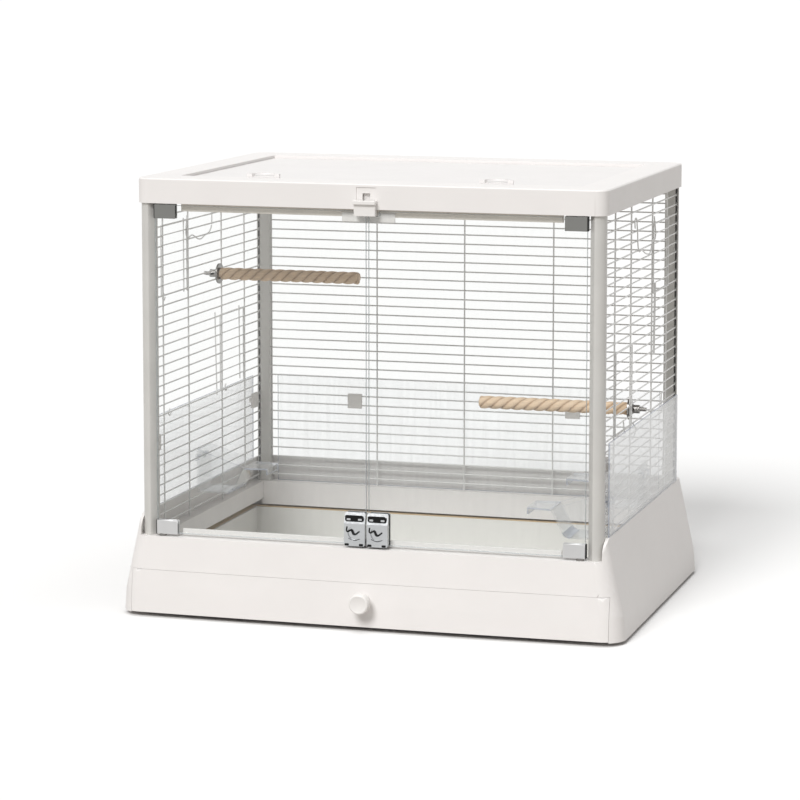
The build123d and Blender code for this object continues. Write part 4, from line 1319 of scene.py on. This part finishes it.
@dataclass
class Perch:
    """One perch, carved like a rope, with its washers, bolt and wing nut."""

    side: Side
    strands: int = 3
    strand_pitch: float = 15.0
    valley_depth: float = 2.0
    fullness: float = 0.55
    chamfer: float = 1.2
    steps_along: int = 300
    steps_round: int = 72
    fitting_edges: Rounding = Rounding(0.3, 2, 0.5)
    nut_edges: Rounding = Rounding(0.8, 3, 1.0)

    def build(self, shop: Workshop) -> None:
        """Makes the wood and dresses the washers, the bolt and the wing nut.

        Args:
            shop: the workshop.
        """
        word = self.side.word
        self.wood(shop)
        dress(shop, [f"perch_washers_{word}", f"perch_bolt_{word}"], self.fitting_edges)
        dress(shop, [f"wing_nut_{word}"], self.nut_edges)

    def valley(self, along: float, angle: float) -> float:
        """How deep the valley between two strands is, from 0 on a strand's back to 1."""
        phase = (along / self.strand_pitch + self.strands * angle / math.tau) % 1.0
        return 1 - math.sin(math.pi * phase) ** self.fullness

    def wood(self, shop: Workshop) -> None:
        """Makes the wooden rod with its twisted strands.

        Args:
            shop: the workshop.
        """
        name = f"perch_{self.side.word}"
        low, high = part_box(name)
        radius = (high.z - low.z) / 2 / MM
        length = (high.x - low.x) / MM
        y, z = (low.y + high.y) / 2 / MM, (low.z + high.z) / 2 / MM
        shape = bmesh.new()
        # Each point's valley depth, which the wood's finish turns into painted shade.
        valleys = shape.verts.layers.float.new("groove")
        rings = []
        for step in range(self.steps_along + 1):
            along = length * step / self.steps_along
            end = min(along, length - along)
            ring = []
            for turn in range(self.steps_round):
                angle = math.tau * turn / self.steps_round
                valley = self.valley(along, angle)
                here = radius - self.valley_depth * valley - max(0.0, self.chamfer - end)
                vert = shape.verts.new(
                    mm(low.x / MM + along, y + here * math.cos(angle), z + here * math.sin(angle))
                )
                vert[valleys] = valley
                ring.append(vert)
            rings.append(ring)
        for low_ring, high_ring in zip(rings, rings[1:]):
            for turn in range(self.steps_round):
                after = (turn + 1) % self.steps_round
                shape.faces.new((low_ring[turn], low_ring[after], high_ring[after], high_ring[turn]))
        shape.faces.new(rings[0])
        shape.faces.new(rings[-1])
        bmesh.ops.recalc_face_normals(shape, faces=shape.faces)
        mesh = bpy.data.meshes.new(name)
        shape.to_mesh(mesh)
        shape.free()
        shop.add(f"{name}_wood", smooth(mesh, ROUND_ANGLE), "cage", "perch_wood", [name])


@dataclass
class Feeders:
    """The three clear cups."""

    names: tuple[str, ...] = ("feeder_left", "feeder_right_front", "feeder_right_rear")
    edges: Rounding = Rounding(0.5, 3, 3.0)

    def build(self, shop: Workshop) -> None:
        """Dresses the cups."""
        dress(shop, self.names, self.edges, narrow_face)


@dataclass
class Guards:
    """The clear seed guards and their buttons."""

    sheet_edges: Rounding = Rounding(0.5, 2, 5.0)
    button_edges: Rounding = Rounding(0.8, 3, 2.0)

    def build(self, shop: Workshop) -> None:
        """Dresses the guards and buttons.

        Args:
            shop: the workshop.
        """
        words = [side.word for side in Side]
        sheets = [f"guard_{word}" for word in words] + ["guard_back"]
        dress(shop, sheets, self.sheet_edges, narrow_face)
        buttons = [f"guard_buttons_{word}" for word in words] + ["guard_back_buttons"]
        dress(shop, buttons, self.button_edges)


@dataclass
class LooseWires:
    """The thin bent wires on both side walls: rods that guide the hatches, hooks and loops."""

    radius: float = 0.9
    hook: float = 4.5
    stand_off: float = 2.2

    HOOK_ANGLES = (90, 180, 270, 350)
    # Each place is the Y from the base's middle and the height, in millimetres.
    RODS = {
        Side.LEFT: (
            ((-171, 504), (-171, 405)),
            ((-74, 504), (-74, 405)),
            ((43, 363), (48.6, 247)),
            ((138.7, 361), (141, 257)),
        ),
        Side.RIGHT: (
            ((70, 421), (65.5, 326)),
            ((75, 421), (70.5, 326)),
            ((-52.5, 251.5), (-40.3, 241.6), (-57.6, 232.6)),
            ((-111.2, 266), (-105, 252), (-99, 247.2)),
            ((118.7, 266.5), (117.5, 252), (119.8, 243.1), (132.4, 248)),
        ),
    }
    HOOKS = {
        Side.LEFT: (
            (-146.6, 406.4), (-59.2, 409.5), (-128.6, 250.8), (-173.1, 229.9), (-173.6, 207.4),
            (84.4, 252.9),
        ),
        Side.RIGHT: ((152.4, 235.3), (56.3, 253)),
    }
    LOOPS = {
        Side.LEFT: (
            (-60.9, 506.6), (-61.5, 477.1), (-42.8, 478), (-12.9, 469.6), (6.3, 473.2), (29.5, 480.5),
            (33.8, 502.1),
        ),
        Side.RIGHT: (
            (-51.7, 506), (-53, 516), (-45, 518.3), (-39.4, 506.8), (-27.8, 474.3), (-14.3, 474.3),
            (16.1, 466.6), (40.6, 466), (57.1, 481), (70.8, 481.6), (64, 511),
        ),
    }

    def build(self, shop: Workshop) -> None:
        """Makes the loose wires of both sides.

        Args:
            shop: the workshop.
        """
        for side in Side:
            low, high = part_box(f"wire_wall_{side.word}")
            x = (low.x + high.x) / 2 / MM + side.value * self.stand_off
            outlines = [*self.RODS[side], self.LOOPS[side]]
            outlines += [self.hook_outline(*place) for place in self.HOOKS[side]]
            paths = [[mm(x, y + base_middle(), z) for y, z in outline] for outline in outlines]
            mesh = wire_path(f"loose_wires_{side.word}", paths, self.radius)
            shop.add(f"loose_wires_{side.word}", mesh, "cage", "wire")

    def hook_outline(self, y: float, z: float) -> list[tuple[float, float]]:
        """A small hook: three quarters of a circle round a place."""
        turns = [math.radians(angle) for angle in self.HOOK_ANGLES]
        return [(y + self.hook * math.cos(turn), z + self.hook * math.sin(turn)) for turn in turns]


# The studio


@dataclass(frozen=True)
class Lamp:
    """A distant lamp: the way it shines, its strength and how wide it looks in degrees."""

    name: str
    towards: Point
    strength: float
    width: float

    def hang(self) -> None:
        """Adds the lamp to the studio."""
        data = bpy.data.lights.new(self.name, "SUN")
        data.energy = self.strength
        data.angle = math.radians(self.width)
        lamp = bpy.data.objects.new(self.name, data)
        lamp.rotation_euler = Vector(self.towards).to_track_quat("-Z", "Y").to_euler()
        bpy.context.scene.collection.objects.link(lamp)


@dataclass
class Studio:
    """The camera, the floor, a soft lamp from above and one from in front that shines under the roof."""

    place: Point = (1150.26, -3836.10, 894.84)
    yaw: float = 0.265235
    pitch: float = 0.112095
    roll: float = 0.003997
    focal_pixels: float = 3025.55
    middle: tuple[float, float] = (497.48, 264.43)
    picture: float = 800.0
    sensor: float = 36.0
    farthest: float = 200.0
    floor_size: float = 120.0
    floor_bounced: Colour = (0.50, 0.475, 0.45)
    floor_seen: Colour = (0.97, 0.97, 0.97)
    world_colour: Colour = (1.0, 0.99, 0.97)
    world_strength: float = 0.35
    seen_colour: Colour = (1.0, 1.0, 1.0)
    seen_strength: float = 1.0
    clear_layers: int = 24
    lamps: tuple[Lamp, ...] = (
        Lamp("Top", (-0.12, 0.05, -1.0), 0.9, 45.0),
        Lamp("Front", (0.10, 0.74, -0.62), 2.1, 22.0),
    )

    def build(self) -> None:
        """Makes the camera, the floor and the lights."""
        self.camera()
        self.floor()
        for lamp in self.lamps:
            lamp.hang()
        self.world()
        bpy.context.scene.view_settings.view_transform = "Standard"
        bpy.context.scene.cycles.transparent_max_bounces = self.clear_layers

    def camera(self) -> None:
        """Places the camera as the photo's camera stood."""
        data = bpy.data.cameras.new("Camera")
        data.sensor_width = self.sensor
        data.lens = self.focal_pixels / self.picture * self.sensor
        data.shift_x = -(self.middle[0] - self.picture / 2) / self.picture
        data.shift_y = (self.middle[1] - self.picture / 2) / self.picture
        data.clip_end = self.farthest
        ahead = Vector((
            -math.sin(self.yaw) * math.cos(self.pitch),
            math.cos(self.yaw) * math.cos(self.pitch),
            -math.sin(self.pitch),
        ))
        level = Vector((math.cos(self.yaw), math.sin(self.yaw), 0))
        upward = level.cross(ahead)
        right = math.cos(self.roll) * level + math.sin(self.roll) * upward
        up = math.cos(self.roll) * upward - math.sin(self.roll) * level
        turn = Matrix((right, up, -ahead)).transposed()
        camera = bpy.data.objects.new("Camera", data)
        stand = mm(*self.place) + mm(0, base_middle(), 0)
        camera.matrix_world = Matrix.Translation(stand) @ turn.to_4x4()
        bpy.context.scene.collection.objects.link(camera)
        bpy.context.scene.camera = camera

    def floor(self) -> None:
        """A wide pale floor that carries the cage's shadow."""
        half = self.floor_size / 2
        mesh = bpy.data.meshes.new("Floor")
        corners = [(-half, -half, 0), (half, -half, 0), (half, half, 0), (-half, half, 0)]
        mesh.from_pydata(corners, [], [(0, 1, 2, 3)])
        floor = bpy.data.objects.new("Floor", mesh)
        bpy.context.scene.collection.objects.link(floor)
        graph = Graph("Floor")
        warm = graph.add("ShaderNodeBsdfDiffuse", color=(*self.floor_bounced, 1))
        white = graph.add("ShaderNodeBsdfDiffuse", color=(*self.floor_seen, 1))
        path = graph.add("ShaderNodeLightPath")
        seen = graph.total(path.outputs["Is Camera Ray"], path.outputs["Is Glossy Ray"])
        mesh.materials.append(graph.finish(graph.mixed(seen, warm, white)))

    @staticmethod
    def background(tree: bpy.types.NodeTree, colour: Colour, strength: float) -> bpy.types.Node:
        """Adds a plain background to the world's tree.

        Args:
            tree: the world's tree.
            colour: the background's colour.
            strength: its strength, where 1 is as written.

        Returns:
            The node.
        """
        node = tree.nodes.new("ShaderNodeBackground")
        node.inputs["Color"].default_value = (*colour, 1)
        node.inputs["Strength"].default_value = strength
        return node

    def world(self) -> None:
        """Makes a dim world that the camera and mirrors see as white."""
        world = bpy.data.worlds.new("World")
        bpy.context.scene.world = world
        world.use_nodes = True
        tree = world.node_tree
        tree.nodes.clear()
        output = tree.nodes.new("ShaderNodeOutputWorld")
        mix = tree.nodes.new("ShaderNodeMixShader")
        dim = self.background(tree, self.world_colour, self.world_strength)
        white = self.background(tree, self.seen_colour, self.seen_strength)
        path = tree.nodes.new("ShaderNodeLightPath")
        seen = tree.nodes.new("ShaderNodeMath")
        seen.operation = "MAXIMUM"
        tree.links.new(path.outputs["Is Camera Ray"], seen.inputs[0])
        tree.links.new(path.outputs["Is Glossy Ray"], seen.inputs[1])
        tree.links.new(seen.outputs[0], mix.inputs[0])
        tree.links.new(dim.outputs[0], mix.inputs[1])
        tree.links.new(white.outputs[0], mix.inputs[2])
        tree.links.new(mix.outputs[0], output.inputs[0])


def main() -> None:
    """Builds the cage, piece by piece, and then the studio."""
    logging.basicConfig(level=logging.INFO, format="%(name)s %(message)s")
    shop = Workshop(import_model())
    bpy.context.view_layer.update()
    parts: list[Assembly] = [Base(), Drawer(), Roof(), Posts(), WireWalls()]
    parts += [GlassDoor(side) for side in Side]
    parts += [Perch(side) for side in Side]
    parts += [Feeders(), Guards(), LooseWires()]
    for part in parts:
        part.build(shop)
    Studio().build()
    LOG.info("%d pieces made", len(shop.made))


if __name__ == "__main__":
    main()
